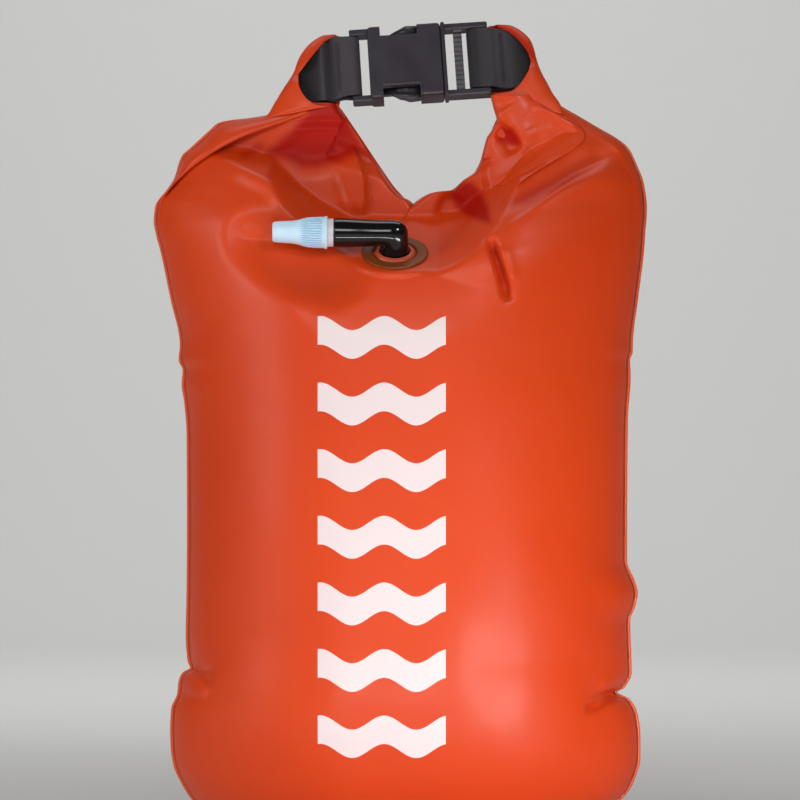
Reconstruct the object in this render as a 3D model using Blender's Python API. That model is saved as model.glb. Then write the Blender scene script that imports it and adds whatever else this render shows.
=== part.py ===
# Open water swim buoy: an inflatable tow float with a roll-top dry compartment.
# Metres, +Z up. The front faces -Y and the buoy stands on its folded bottom edge at z = 0.

import math

import bpy
import bmesh
from mathutils import Vector

mm = 0.001

# Overall size of the inflated bag
overallHeight = 498.4 * mm
shoulderHalfWidth = 149.9 * mm
backDepth = 68 * mm
bottomCornerRadius = 59 * mm
baseDepth = 30 * mm

# Fabric and welds
skinThickness = 0.8 * mm
weldWidth = 2.5 * mm
weldThickness = 2.2 * mm
fitGap = 0.3 * mm
bottomWeldWidth = 6 * mm
bottomWeldThickness = 1.2 * mm

# Roll-top
ridgeDepth = 9 * mm
rollHeight = 40 * mm
rollThickness = 9 * mm
stiffenerHeight = 25 * mm
stiffenerThickness = 1.2 * mm
stiffenerSlack = 0.5 * mm
rollEndThickness = 14 * mm
rollEndGap = 0.5 * mm
rollEndBevel = 2.5 * mm

# Webbing
webbingWidth = 40 * mm
webbingThickness = 1.6 * mm
webbingTurn = 1.3 * mm
webbingSlack = 0.6 * mm
tackInset = 3 * mm
bandTackWidth = webbingWidth - 2 * tackInset
bandTackLength = 3 * mm
bandTackHeight = 0.5 * mm

# Side-release buckle, measured along its own axis from its middle
buckleHeightShare = 0.9446
buckleOffset = 12.2 * mm
buckleDepth = 6 * mm
buckleTilt = math.radians(3.7)
buckleLean = math.radians(24.5)
buckleLength = 84.8 * mm
buckleThickness = 14 * mm
railThickness = 8 * mm
railWidth = 4 * mm
webbingPlay = 1 * mm
buckleWidth = webbingWidth + 2 * (webbingPlay + railWidth)
wallThickness = 2.8 * mm
housingBevel = 2.2 * mm
railBevel = 0.8 * mm
barThickness = 4.4 * mm
ladderThickness = 3.4 * mm
ladderToothHeight = 0.6 * mm
ladderTeeth = 14
crossbarLength = 2.2 * mm
windowDepth = 7.4 * mm
latchSlack = 0.6 * mm
padStandOff = 1.8 * mm
padSetIn = 1.4 * mm
armThickness = 3.6 * mm
guideWidth = 10 * mm
guideTaper = 3 * mm

# Places along the buckle, as shares of its length
housingShare = 0.660
housingBarShare = 0.0495
housingSlotShare = 0.080
frameBarShare = 0.118
frameGapShare = 0.086
ladderShare = 0.0625
windowLengthShare = 0.2665
windowSetbackShare = 0.170
latchReachShare = 0.461
guideShare = 0.377
armRootShare = 0.25

# Oral valve, measured along its tube from the elbow's corner
valveOffset = -3.2 * mm
valveHeightShare = 0.7087
valveSetbackShare = 0.593
valveLean = math.radians(31)
legReach = 8 * mm
elbowRadius = 9.15 * mm
elbowBendSlack = 0.45 * mm
elbowStandOff = 2.3 * mm
tubeWall = 2.65 * mm
elbowLength = 36.5 * mm
tubeTilt = math.radians(0.8)
grommetWall = 2.35 * mm
grommetHeight = 2 * mm
grommetReach = 3 * mm
flangeWidth = 8.2 * mm
flangeThickness = 1.4 * mm
padMargin = 4 * mm
collarStep = 0.95 * mm
collarLength = 4 * mm
neckStep = 1 * mm
neckLength = 14 * mm
stemReach = 13 * mm
stemBore = 3.6 * mm
capStart = 2.2 * mm
capLength = 34.6 * mm
capWall = 1.6 * mm
capRimLength = 1.8 * mm
gripStep = 0.7 * mm
gripGroove = 0.5 * mm
gripRibs = 24
coneLength = 6.1 * mm
coneOverlap = 2.6 * mm
mouthRadius = 6.7 * mm
mouthTipRadius = 6.2 * mm
mouthBore = 4.2 * mm
plungerLength = 9 * mm
ringWire = 0.5 * mm

# Leash anchor on the back
anchorHeight = 125 * mm
anchorPatchSize = 40 * mm
anchorPatchThickness = 1.2 * mm
anchorWebbingWidth = 25 * mm
anchorTailLength = 18 * mm
ringWireRadius = 2 * mm
ringSideLength = 6 * mm
patchCornerShare = 0.25
anchorTackShare = 0.25

# One overrun serves every cut
cutOverrun = 2 * mm

# Outline of the inflated bag: (half-width share, overall height share), bottom to top
leftOutlineShares = (
    (-0.933, 0.130), (-0.929, 0.154), (-0.902, 0.175), (-0.850, 0.2045), (-0.864, 0.222),
    (-0.866, 0.2985), (-0.864, 0.386), (-0.866, 0.493), (-0.882, 0.569), (-0.892, 0.600),
    (-0.973, 0.716), (-1.0, 0.760), (-0.921, 0.800), (-0.888, 0.831), (-0.738, 0.871),
)
rightOutlineShares = (
    (0.970, 0.130), (0.962, 0.149), (0.874, 0.175), (0.939, 0.1995), (0.931, 0.263),
    (0.963, 0.2965), (0.917, 0.335), (0.919, 0.421), (0.934, 0.5605), (0.943, 0.6045),
    (0.990, 0.716), (1.0, 0.760), (0.990, 0.7955), (0.927, 0.841), (0.767, 0.871),
)

# Rows of the panels, bottom to top: heights at the side welds as shares of the overall height,
# and half-depths as shares of the full half-depth. The three rows None lie on the valve's deck.
rowSideShares = (
    0.0, 0.0, 0.010, 0.040, 0.088, 0.149, 0.175, 0.2045, 0.250, 0.2965, 0.380, 0.470,
    0.550, 0.605, 0.660, 0.716, 0.760, 0.800, 0.838, 0.871,
)
rowCentreShares = (
    0.0, 0.0, 0.008, 0.036, 0.084, 0.146, 0.173, 0.2025, 0.250, 0.2965, 0.380, 0.470,
    0.546, 0.600, 0.648, None, None, None, 0.757, 0.7705,
)
frontDepthShares = (
    None, None, 0.56, 0.76, 0.90, 0.985, 1.0, 1.0, 1.0, 1.0, 1.0, 1.0,
    1.0, 0.995, 0.985, None, None, None, 0.165, None,
)
backCentreShares = (
    0.0, 0.0, 0.008, 0.036, 0.084, 0.146, 0.173, 0.2025, 0.250, 0.2965, 0.380, 0.470,
    0.546, 0.600, 0.648, 0.686, 0.714, 0.738, 0.757, 0.7705,
)
backDepthShares = (
    None, None, 0.56, 0.76, 0.90, 1.0, 1.0, 1.0, 1.0, 1.0, 1.0, 1.0,
    1.0, 0.985, 0.95, 0.83, 0.64, 0.41, 0.22, None,
)
firstLinerRow = 3
firstDeckRow = 15
columnShares = (
    -1.0, -0.95, -0.85, -0.70, -0.52, -0.34, -0.168, 0.0, 0.168, 0.34, 0.52, 0.70, 0.85, 0.95, 1.0,
)
flatColumnShare = 0.168
crownShare = 0.75
saddleShare = 0.72
linerDepthShare = 0.35

# Route of the roll's middle line, left end to right end: shares of the buckle's length from the
# buckle's middle, and of the overall height
rollRouteShares = (
    (-0.807, 0.925), (-0.794, 0.880), (-0.727, 0.846), (-0.536, 0.806), (-0.294, 0.760),
    (-0.064, 0.734), (0.210, 0.744), (0.475, 0.777), (0.652, 0.818), (0.740, 0.860),
    (0.758, 0.885), (0.761, 0.925),
)
rollRouteSteps = 18
rollChamferShare = 0.25
stripChamferShare = 0.2

# Sleeve-like ends of the roll, seen along the buckle's depth: shares of the buckle's length and
# width, from its middle
leftEndShares = (
    (-0.607, 0.426), (-0.708, 0.448), (-0.802, 0.328), (-0.882, 0.112),
    (-0.940, -0.072), (-1.015, -0.500), (-0.607, -0.500),
)
rightEndShares = (
    (0.560, 0.426), (0.653, 0.432), (0.802, 0.136), (0.841, -0.072),
    (0.940, -0.500), (0.560, -0.500),
)
leftMouthShare = -0.825
rightMouthShare = 0.745
leftTailShare = -0.80
rightTailShare = 0.72
leftTackShare = 0.3
rightTackShare = 0.4

lathSegments = 24
cutterSegments = 40


def material(name, color, roughness, metallic=0.0):
    made = bpy.data.materials.new(name)
    made.use_nodes = True
    shader = made.node_tree.nodes["Principled BSDF"]
    shader.inputs["Base Color"].default_value = (*color, 1.0)
    shader.inputs["Roughness"].default_value = roughness
    shader.inputs["Metallic"].default_value = metallic
    return made


def finish(name, work, parent=None, color=(0.5, 0.5, 0.5), roughness=0.5, smooth=True, outward=True):
    if outward:
        bmesh.ops.recalc_face_normals(work, faces=work.faces)
    mesh = bpy.data.meshes.new(name)
    work.to_mesh(mesh)
    work.free()
    made = bpy.data.objects.new(name, mesh)
    bpy.context.collection.objects.link(made)
    made.parent = parent
    mesh.materials.append(material(name + "_material", color, roughness))
    if smooth:
        mesh.shade_smooth()
        mesh.set_sharp_from_angle(angle=math.radians(35))
    return made


def cutter(made):
    made.hide_render = True
    made.display_type = "WIRE"
    return made


def boolean(target, tool, operation):
    step = target.modifiers.new(operation.title(), "BOOLEAN")
    step.operation = operation
    step.object = tool
    step.solver = "EXACT"
    cutter(tool)


def bevel(target, width, segments=1):
    step = target.modifiers.new("Bevel", "BEVEL")
    step.width = width
    step.segments = segments
    step.limit_method = "ANGLE"
    step.angle_limit = math.radians(50)


def empty(name, location, rotation=(0, 0, 0), parent=None):
    made = bpy.data.objects.new(name, None)
    bpy.context.collection.objects.link(made)
    made.location = location
    made.rotation_euler = rotation
    made.parent = parent
    return made


def boxBody(low, high):
    work = bmesh.new()
    bmesh.ops.create_cube(work, size=1)
    for vertex in work.verts:
        for axis in range(3):
            middle = (low[axis] + high[axis]) / 2
            vertex.co[axis] = middle + vertex.co[axis] * (high[axis] - low[axis])
    return work


def loftBody(rings, closed=False):
    # Rings with the same number of points, bridged in order, capped unless the last meets the first
    work = bmesh.new()
    rows = [[work.verts.new(point) for point in ring] for ring in rings]
    count = len(rows[0])
    pairs = list(zip(rows, rows[1:]))
    if closed:
        pairs.append((rows[-1], rows[0]))
    for lower, upper in pairs:
        for i in range(count):
            j = (i + 1) % count
            work.faces.new((lower[i], lower[j], upper[j], upper[i]))
    if not closed:
        work.faces.new(list(reversed(rows[0])))
        work.faces.new(rows[-1])
    return work


def latheBody(profile, segments=lathSegments):
    # A closed profile of (radius, height) turned about Z, all of it off the axis
    rings = []
    for step in range(segments):
        angle = math.tau * step / segments
        rings.append([(r * math.cos(angle), r * math.sin(angle), z) for r, z in profile])
    return loftBody(rings, closed=True)


def turnedBody(profile, segments=lathSegments):
    # An open profile of (radius, height) turned about Z, closed by a flat face at each end
    rings = []
    for r, z in profile:
        ring = []
        for step in range(segments):
            angle = math.tau * step / segments
            ring.append((r * math.cos(angle), r * math.sin(angle), z))
        rings.append(ring)
    return loftBody(rings)


def prismBody(points, low, high):
    # Points (x, z) pushed out along Y
    return loftBody([[(x, low, z) for x, z in points], [(x, high, z) for x, z in points]])


def outlineAt(shares, side, height):
    # Half-width of the bag at a height, with the round bottom corner below the first point
    first = shares[0]
    corner = first[0] * shoulderHalfWidth - side * bottomCornerRadius
    if height <= bottomCornerRadius:
        rise = bottomCornerRadius - height
        return corner + side * math.sqrt(max(bottomCornerRadius ** 2 - rise ** 2, 0))
    points = [(first[0] * shoulderHalfWidth, bottomCornerRadius)]
    points += [(x * shoulderHalfWidth, z * overallHeight) for x, z in shares]
    for (x0, z0), (x1, z1) in zip(points, points[1:]):
        if height <= z1 and z1 > z0:
            return x0 + (x1 - x0) * (height - z0) / (z1 - z0)
    return points[-1][0]


def outlinePoints(shares, side):
    heights = [share * overallHeight for share in rowSideShares]
    return [Vector((outlineAt(shares, side, z), z)) for z in heights]


def insetOutline(points, side, inset):
    # The outline moved inward by inset, square to itself, except along the flat base
    moved = []
    for i, point in enumerate(points):
        before = points[max(i - 1, 1)]
        after = points[min(i + 1, len(points) - 1)]
        run = (after - before).normalized()
        inward = Vector((-run.y, run.x)) * side
        if i <= 1:
            inward = Vector((-side, 0))
        moved.append(point + inward * inset)
    return moved


leftOutline = outlinePoints(leftOutlineShares, -1)
rightOutline = outlinePoints(rightOutlineShares, 1)

# The back's fittings set how far the front bulges, so that the buoy is centred on its origin
anchorLoopRadius = ringWireRadius + fitGap + webbingThickness
anchorStandOff = fitGap + anchorPatchThickness + fitGap + 2 * anchorLoopRadius
frontDepth = backDepth + anchorStandOff

# The valve's radii follow from its tube
grommetRadius = elbowRadius + fitGap + grommetWall
flangeRadius = grommetRadius + flangeWidth
elbowBore = elbowRadius - tubeWall
elbowBendRadius = elbowRadius + elbowBendSlack
collarRadius = elbowRadius - collarStep
neckRadius = collarRadius - neckStep
capRimRadius = collarRadius + fitGap + capWall
gripRadius = capRimRadius - gripStep
plungerRadius = stemBore - 2 * fitGap

# The elbow turns a little above the grommet
elbowTurn = math.pi / 2 - tubeTilt
elbowSetback = elbowBendRadius * math.tan(elbowTurn / 2)
bendHeight = grommetHeight + elbowStandOff
legHeight = bendHeight + elbowSetback

# The valve's deck is a plane through the valve's place, square to the leg
padHalfWidth = flangeRadius + padMargin
deckUp = Vector((0, math.cos(valveLean), math.sin(valveLean)))
valvePlace = Vector((valveOffset, -valveSetbackShare * frontDepth, valveHeightShare * overallHeight))


def deckPoint(row):
    return valvePlace + deckUp * padHalfWidth * (row - firstDeckRow - 1)


def smoothStep(value):
    value = min(max(value, 0), 1)
    return value * value * (3 - 2 * value)


def rowShape(row, isFront):
    # Height at the middle and half-depth of one row of the front or the back panel
    depth = frontDepth if isFront else backDepth
    shares = frontDepthShares if isFront else backDepthShares
    centres = rowCentreShares if isFront else backCentreShares
    if row == 0:
        return 0, bottomWeldWidth / 2 + fitGap
    if row == 1:
        return 0, baseDepth
    if row == len(rowSideShares) - 1:
        return centres[row] * overallHeight, ridgeDepth
    if shares[row] is None:
        place = deckPoint(row)
        return place.z, -place.y
    return centres[row] * overallHeight, shares[row] * depth


def sheetPoint(row, column, isFront, edgeGap, inset, depthShare):
    left = insetOutline(leftOutline, -1, inset)[row]
    right = insetOutline(rightOutline, 1, inset)[row]
    share = columnShares[column]
    reach = left if share < 0 else right
    x = valveOffset + (reach.x - valveOffset) * abs(share)
    height, depth = rowShape(row, isFront)
    outer = max(abs(share) - flatColumnShare, 0) / (1 - flatColumnShare)
    z = height + (reach.y - height) * smoothStep(outer / saddleShare)
    if row == 0:
        shorten = baseDepth / 2 * (1 if share > 0 else -1) * abs(share)
        return Vector((x - shorten, depth, z))
    power = 3 if row >= firstDeckRow + 2 else 2
    lens = (1 - outer ** power) ** crownShare
    if abs(share) <= flatColumnShare:
        x = valveOffset + padHalfWidth * share / flatColumnShare
    y = edgeGap + (depth * depthShare - edgeGap) * lens
    if row == 1:
        low = bottomWeldWidth / 2 + fitGap
        y = low + skinThickness + (depth - low - skinThickness) * lens
    if row == 2:
        y = max(y, bottomWeldWidth / 2)
    return Vector((x, y, z))


def sheetBody(isFront, edgeGap, inset, depthShare=1.0, firstRow=0, lastRow=len(rowSideShares) - 1):
    # An open sheet whose faces look away from the middle of the bag
    side = -1 if isFront else 1
    work = bmesh.new()
    rows = []
    for row in range(firstRow, lastRow + 1):
        line = []
        for column in range(len(columnShares)):
            point = sheetPoint(row, column, isFront, edgeGap, inset, depthShare)
            line.append(work.verts.new((point.x, side * point.y, point.z)))
        rows.append(line)
    for lower, upper in zip(rows, rows[1:]):
        for i in range(len(columnShares) - 1):
            corners = [lower[i], lower[i + 1], upper[i + 1], upper[i]]
            if not isFront:
                corners.reverse()
            work.faces.new(corners)
    return work


def thicken(target):
    step = target.modifiers.new("Solidify", "SOLIDIFY")
    step.thickness = skinThickness
    step.offset = -1
    step.use_rim = True


orange = (0.62, 0.065, 0.02)
black = (0.02, 0.018, 0.022)
charcoal = (0.045, 0.038, 0.046)


def makePanels(valvePort):
    edgeInset = weldWidth + fitGap
    edgeGap = skinThickness / 2 + 2 * fitGap
    front = finish("front_panel", sheetBody(True, edgeGap, edgeInset), color=orange, roughness=0.35,
                   outward=False)
    thicken(front)
    port = turnedBody([(grommetRadius + 2 * fitGap, -grommetReach - cutOverrun),
                       (grommetRadius + 2 * fitGap, cutOverrun)], cutterSegments)
    boolean(front, finish("port_cutter", port, valvePort), "DIFFERENCE")
    back = finish("back_panel", sheetBody(False, edgeGap, edgeInset), color=orange, roughness=0.35,
                  outward=False)
    thicken(back)
    makeLiner(edgeInset)


def makeLiner(edgeInset):
    # The sheet between the air chamber and the dry compartment starts above the folded base
    work = sheetBody(True, 0, edgeInset + weldWidth, linerDepthShare, firstLinerRow, firstDeckRow + 1)
    liner = finish("chamber_liner", work, color=(0.5, 0.06, 0.03), roughness=0.5, outward=False)
    thicken(liner)


def makeSideWeld(name, outline, side):
    inner = insetOutline(outline, side, weldWidth)
    half = weldThickness / 2
    rings = []
    for row in range(2, len(outline)):
        a = outline[row]
        b = inner[row]
        rings.append([(a.x, -half, a.y), (a.x, half, a.y), (b.x, half, b.y), (b.x, -half, b.y)])
    return finish(name, loftBody(rings), color=(0.75, 0.12, 0.04), roughness=0.4, smooth=False)


def makeBottomWeld():
    reach = baseDepth / 2 + weldWidth + 2 * fitGap
    low = leftOutline[1].x + reach
    high = rightOutline[1].x - reach
    body = boxBody((low, -bottomWeldWidth / 2, 0), (high, bottomWeldWidth / 2, bottomWeldThickness))
    return finish("bottom_weld", body, color=(0.75, 0.12, 0.04), roughness=0.4, smooth=False)


def rollRoute(steps):
    # Catmull-Rom points through the roll's middle line
    route = [Vector((buckleOffset + x * buckleLength, 0, z * overallHeight)) for x, z in rollRouteShares]
    route = [2 * route[0] - route[1]] + route + [2 * route[-1] - route[-2]]
    spans = len(route) - 3
    points = []
    for step in range(steps + 1):
        place = min(step * spans / steps, spans - 1e-6)
        i = int(place)
        t = place - i
        a, b, c, d = route[i:i + 4]
        points.append(0.5 * (2 * b + (c - a) * t + (2 * a - 5 * b + 4 * c - d) * t * t
                             + (3 * b - a - 3 * c + d) * t * t * t))
    return points


def bandSections(height, thickness, chamferShare, trim=0):
    # Sections across the roll's route: height in the plane of the route, thickness along Y
    points = rollRoute(rollRouteSteps)
    points = points[trim:len(points) - trim]
    h = height / 2
    t = thickness / 2
    c = thickness * chamferShare
    shape = [(-h + c, -t), (h - c, -t), (h, -t + c), (h, t - c), (h - c, t), (-h + c, t),
             (-h, t - c), (-h, -t + c)]
    rings = []
    for i, point in enumerate(points):
        run = (points[min(i + 1, len(points) - 1)] - points[max(i - 1, 0)]).normalized()
        across = Vector((-run.z, 0, run.x))
        rings.append([point + across * u + Vector((0, v, 0)) for u, v in shape])
    return rings


def tubeBody(outer, inner):
    # A hollow band: outer and inner sections bridged, with a flat rim at each end
    work = bmesh.new()
    outerRows = [[work.verts.new(point) for point in ring] for ring in outer]
    innerRows = [[work.verts.new(point) for point in ring] for ring in inner]
    count = len(outerRows[0])
    for rows in (outerRows, innerRows):
        for lower, upper in zip(rows, rows[1:]):
            for i in range(count):
                j = (i + 1) % count
                work.faces.new((lower[i], lower[j], upper[j], upper[i]))
    for end in (0, -1):
        for i in range(count):
            j = (i + 1) % count
            work.faces.new((outerRows[end][i], outerRows[end][j], innerRows[end][j], innerRows[end][i]))
    return work


def makeRoll(buckleAxis):
    outer = bandSections(rollHeight, rollThickness, rollChamferShare)
    slack = 2 * stiffenerSlack
    inner = bandSections(stiffenerHeight + slack, stiffenerThickness + slack, stripChamferShare)
    roll = finish("rolled_closure", tubeBody(outer, inner), color=orange, roughness=0.35)
    top = -halfWidth - rollEndGap
    block = boxBody((-buckleLength * 2, -buckleLength, top), (buckleLength * 2, buckleLength, buckleLength))
    boolean(roll, finish("roll_end_cutter", block, buckleAxis), "DIFFERENCE")
    strip = bandSections(stiffenerHeight, stiffenerThickness, stripChamferShare, trim=2)
    finish("stiffener_strip", loftBody(strip), color=(0.8, 0.8, 0.78), roughness=0.5)


def makeRollEnd(name, shares, mouthShare, side, parent):
    # A sleeve with its mouth toward the buckle, its front lip set back so that the strap shows
    points = [(x * buckleLength, z * buckleWidth) for x, z in shares]
    half = rollEndThickness / 2
    sleeve = finish(name, prismBody(points, -half, half), parent, color=orange, roughness=0.35)
    bevel(sleeve, rollEndBevel)
    reach = webbingWidth / 2 + webbingSlack
    start = mouthShare * buckleLength
    end = points[0][0] - side * buckleLength
    pocket = boxBody((min(start, end), -half - cutOverrun, -reach),
                     (max(start, end), webbingThickness + fitGap, reach))
    boolean(sleeve, finish(name + "_cutter", pocket, parent), "DIFFERENCE")
    return sleeve


def makeStrap(name, barFrom, barTo, tail, side, parent):
    # Webbing round a bar, with its two layers sewn together from the bar to the roll's end
    middle = (barFrom + barTo) / 2
    innerX = (barTo - barFrom) / 2 + fitGap
    innerY = barThickness / 2 + fitGap
    outerX = innerX + webbingThickness
    outerY = innerY + webbingThickness
    chamfer = webbingTurn
    layers = webbingThickness
    side1 = innerY - chamfer
    inner = [(innerX, -side1), (innerX, side1), (innerX - chamfer, innerY), (-innerX + chamfer, innerY),
             (-innerX, side1), (-innerX, side1 / 3), (-innerX, -side1 / 3), (-innerX, -side1),
             (-innerX + chamfer, -innerY), (innerX - chamfer, -innerY)]
    reach = abs(tail - middle)
    meet = outerX + outerY - layers
    outer = [(outerX, -outerY + chamfer), (outerX, outerY - chamfer), (outerX - chamfer, outerY),
             (-outerX, outerY), (-meet, layers), (-reach, layers), (-reach, -layers), (-meet, -layers),
             (-outerX, -outerY), (outerX - chamfer, -outerY)]
    half = webbingWidth / 2
    rings = []
    for loop, z in ((outer, -half), (outer, half), (inner, half), (inner, -half)):
        rings.append([(middle + side * x, y, z) for x, y in loop])
    return finish(name, loftBody(rings, closed=True), parent, color=black, roughness=0.8)


def makeTack(name, place, side, parent):
    # A bar tack across the strap, on its front face
    front = -webbingThickness - fitGap
    body = boxBody((place - bandTackLength / 2, front - bandTackHeight, -bandTackWidth / 2),
                   (place + bandTackLength / 2, front, bandTackWidth / 2))
    return finish(name, body, parent, color=(0.03, 0.03, 0.035), roughness=0.9, smooth=False)


housingStart = -buckleLength / 2
housingEnd = housingStart + housingShare * buckleLength
housingBarEnd = housingStart + housingBarShare * buckleLength
housingBodyStart = housingBarEnd + housingSlotShare * buckleLength
frameStart = housingEnd + fitGap
frameEnd = buckleLength / 2
frameBarEnd = frameEnd - railBevel
frameBarStart = frameBarEnd - frameBarShare * buckleLength
halfWidth = buckleWidth / 2
halfThickness = buckleThickness / 2
railInner = halfWidth - railWidth
cavityHeight = halfWidth - railWidth
cavityDepth = halfThickness - wallThickness
latchTip = housingEnd - latchReachShare * buckleLength
armRootHeight = armRootShare * buckleWidth


def makeHousing(parent):
    body = boxBody((housingBodyStart, -halfThickness, -halfWidth), (housingEnd, halfThickness, halfWidth))
    housing = finish("buckle_housing", body, parent, color=charcoal, roughness=0.42)
    bevel(housing, housingBevel, 2)
    join = housingBodyStart + housingBevel + wallThickness
    addBuckleEnd(housing, "housing", housingStart, join, housingStart, housingBarEnd, parent)
    latchEnd = latchTip - latchSlack * 2
    mouth = housingEnd + cutOverrun
    cavity = boxBody((latchEnd, -cavityDepth, -cavityHeight), (mouth, cavityDepth, cavityHeight))
    boolean(housing, finish("housing_cavity_cutter", cavity, parent), "DIFFERENCE")
    for sign, label in ((1, "upper"), (-1, "lower")):
        z = sorted((sign * (halfWidth - windowDepth), sign * (halfWidth + cutOverrun)))
        window = boxBody((windowStart, -halfThickness - cutOverrun, z[0]),
                         (windowEnd, halfThickness + cutOverrun, z[1]))
        boolean(housing, finish("housing_window_cutter_" + label, window, parent), "DIFFERENCE")


def addBuckleEnd(target, label, railFrom, railTo, barFrom, barTo, parent):
    # Two side rails and the bar between them that the webbing goes round
    half = railThickness / 2
    for sign, place in ((1, "upper"), (-1, "lower")):
        z = sorted((sign * railInner, sign * halfWidth))
        body = boxBody((railFrom, -half, z[0]), (railTo, half, z[1]))
        rail = finish(label + "_rail_" + place, body, parent)
        bevel(rail, railBevel)
        boolean(target, rail, "UNION")
    reach = railInner + railWidth / 2
    bar = boxBody((barFrom, -barThickness / 2, -reach), (barTo, barThickness / 2, reach))
    barObject = finish(label + "_bar", bar, parent)
    bevel(barObject, webbingTurn)
    boolean(target, barObject, "UNION")


windowEnd = housingEnd - windowSetbackShare * buckleLength
windowStart = windowEnd - windowLengthShare * buckleLength
armDepth = cavityDepth - latchSlack


def makeFrame(parent):
    crossEnd = frameStart + crossbarLength
    crossDepth = halfThickness - railBevel
    cross = boxBody((frameStart, -crossDepth, -halfWidth), (crossEnd, crossDepth, halfWidth))
    frame = finish("buckle_frame", cross, parent, color=charcoal, roughness=0.42)
    bevel(frame, railBevel / 2)
    start = frameStart + crossbarLength / 2
    addBuckleEnd(frame, "frame", start, frameEnd, frameBarStart, frameBarEnd, parent)
    for sign, label in ((1, "upper"), (-1, "lower")):
        z = sorted((sign * armRootHeight, sign * (armRootHeight + armThickness)))
        root = boxBody((armRootStart + fitGap, -armDepth, z[0]), (start, armDepth, z[1]))
        boolean(frame, finish("frame_root_" + label, root, parent), "UNION")
    boolean(frame, makeLadder(parent), "UNION")
    boolean(frame, makeGuide(parent), "UNION")


def makeLadder(parent):
    # The ladder bar's front is a row of teeth across its width
    half = railInner + railWidth / 2
    depth = ladderThickness / 2
    start = frameStart + frameGapShare * buckleLength
    pitch = 2 * half / ladderTeeth
    points = [(depth, half), (depth, -half)]
    for tooth in range(ladderTeeth):
        base = -half + tooth * pitch
        points.append((-depth, base))
        points.append((-depth - ladderToothHeight, base + pitch / 2))
    points.append((-depth, half))
    rings = [[(x, y, z) for y, z in points] for x in (start, start + ladderShare * buckleLength)]
    return finish("frame_ladder", loftBody(rings), parent)


def makeGuide(parent):
    half = guideWidth / 2
    tip = frameStart - guideShare * buckleLength
    points = [(frameStart + crossbarLength / 2, -half), (frameStart + crossbarLength / 2, half),
              (tip + guideTaper, half), (tip, half - guideTaper), (tip, -half + guideTaper),
              (tip + guideTaper, -half)]
    return finish("frame_guide", prismBody(points, -armDepth, armDepth), parent)


armRootStart = housingEnd - crossbarLength - latchSlack


def makeArm(name, sign, parent):
    # Springy arm: a neck from the frame, a pad that fills the window and a shoulder that locks it
    reach = cavityHeight - latchSlack
    shoulder = windowEnd - latchSlack
    padStart = windowStart + latchSlack
    tip = latchTip
    lower = armRootHeight
    padTop = halfWidth - padStandOff
    points = [(armRootStart, lower), (armRootStart, lower + armThickness), (shoulder, reach),
              (shoulder, padTop - padSetIn), ((shoulder + padStart) / 2, padTop),
              (padStart, reach - padSetIn),
              (tip, lower + armThickness), (tip, lower + padSetIn), (padStart, lower),
              (shoulder, lower + padSetIn)]
    points = [(x, sign * z) for x, z in points]
    arm = finish(name, prismBody(points, -armDepth, armDepth), parent, color=charcoal, roughness=0.42)
    return arm


def makeBuckle(fixedAxis, movingAxis):
    makeHousing(fixedAxis)
    makeFrame(movingAxis)
    for sign, label in ((1, "upper"), (-1, "lower")):
        makeArm("latch_arm_" + label, sign, movingAxis)


def makeStraps(fixedAxis, movingAxis):
    leftTail = leftTailShare * buckleLength
    rightTail = rightTailShare * buckleLength
    makeStrap("left_strap", housingStart, housingBarEnd, leftTail, 1, fixedAxis)
    makeStrap("right_strap", frameBarStart, frameBarEnd, rightTail, -1, movingAxis)
    makeTack("left_bar_tack", leftTail * leftTackShare + housingStart * (1 - leftTackShare), 1, fixedAxis)
    makeTack("right_bar_tack", rightTail * rightTackShare + frameEnd * (1 - rightTackShare), -1, movingAxis)


def makeValve(port):
    inside = grommetRadius + 3 * fitGap
    top = fitGap + flangeThickness
    flange = [(inside, fitGap), (flangeRadius, fitGap), (flangeRadius, fitGap + flangeThickness / 2),
              (flangeRadius - flangeThickness, top), (inside, top)]
    finish("valve_flange", latheBody(flange, cutterSegments), port, color=(0.16, 0.035, 0.01), roughness=0.3)
    lip = elbowRadius + fitGap
    grommet = [(lip, -grommetReach), (grommetRadius, -grommetReach), (grommetRadius, grommetHeight / 2),
               ((grommetRadius + lip) / 2, grommetHeight), (lip, grommetHeight)]
    finish("valve_grommet", latheBody(grommet, cutterSegments), port, color=(0.5, 0.12, 0.06),
           roughness=0.35)
    makeElbow(port)
    tubeAxis = empty("valve_tube_axis", (0, 0, legHeight), (0, tubeTilt - math.pi / 2, 0), port)
    makeStem(tubeAxis)
    makePlunger(tubeAxis)
    makeCap(tubeAxis)


def makeElbow(port):
    run = Vector((-math.cos(tubeTilt), 0, math.sin(tubeTilt)))
    centre = Vector((-elbowBendRadius, 0, bendHeight))
    corner = Vector((0, 0, legHeight))
    frames = [(Vector((0, 0, -legReach)), Vector((0, 0, 1)))]
    bendSteps = 6
    for step in range(bendSteps + 1):
        angle = elbowTurn * step / bendSteps
        place = centre + elbowBendRadius * Vector((math.cos(angle), 0, math.sin(angle)))
        frames.append((place, Vector((-math.sin(angle), 0, math.cos(angle)))))
    frames.append((corner + run * elbowLength, run))
    outer = []
    inner = []
    for place, along in frames:
        side = Vector((0, 1, 0))
        up = along.cross(side)
        for rings, radius in ((outer, elbowRadius), (inner, elbowBore)):
            ring = []
            for step in range(lathSegments):
                angle = math.tau * step / lathSegments
                ring.append(place + side * radius * math.cos(angle) + up * radius * math.sin(angle))
            rings.append(ring)
    finish("valve_elbow", tubeBody(outer, inner), port, color=(0.006, 0.006, 0.007), roughness=0.12)


collarStart = elbowLength + fitGap
collarEnd = collarStart + collarLength
neckEnd = collarEnd + neckLength


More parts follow.
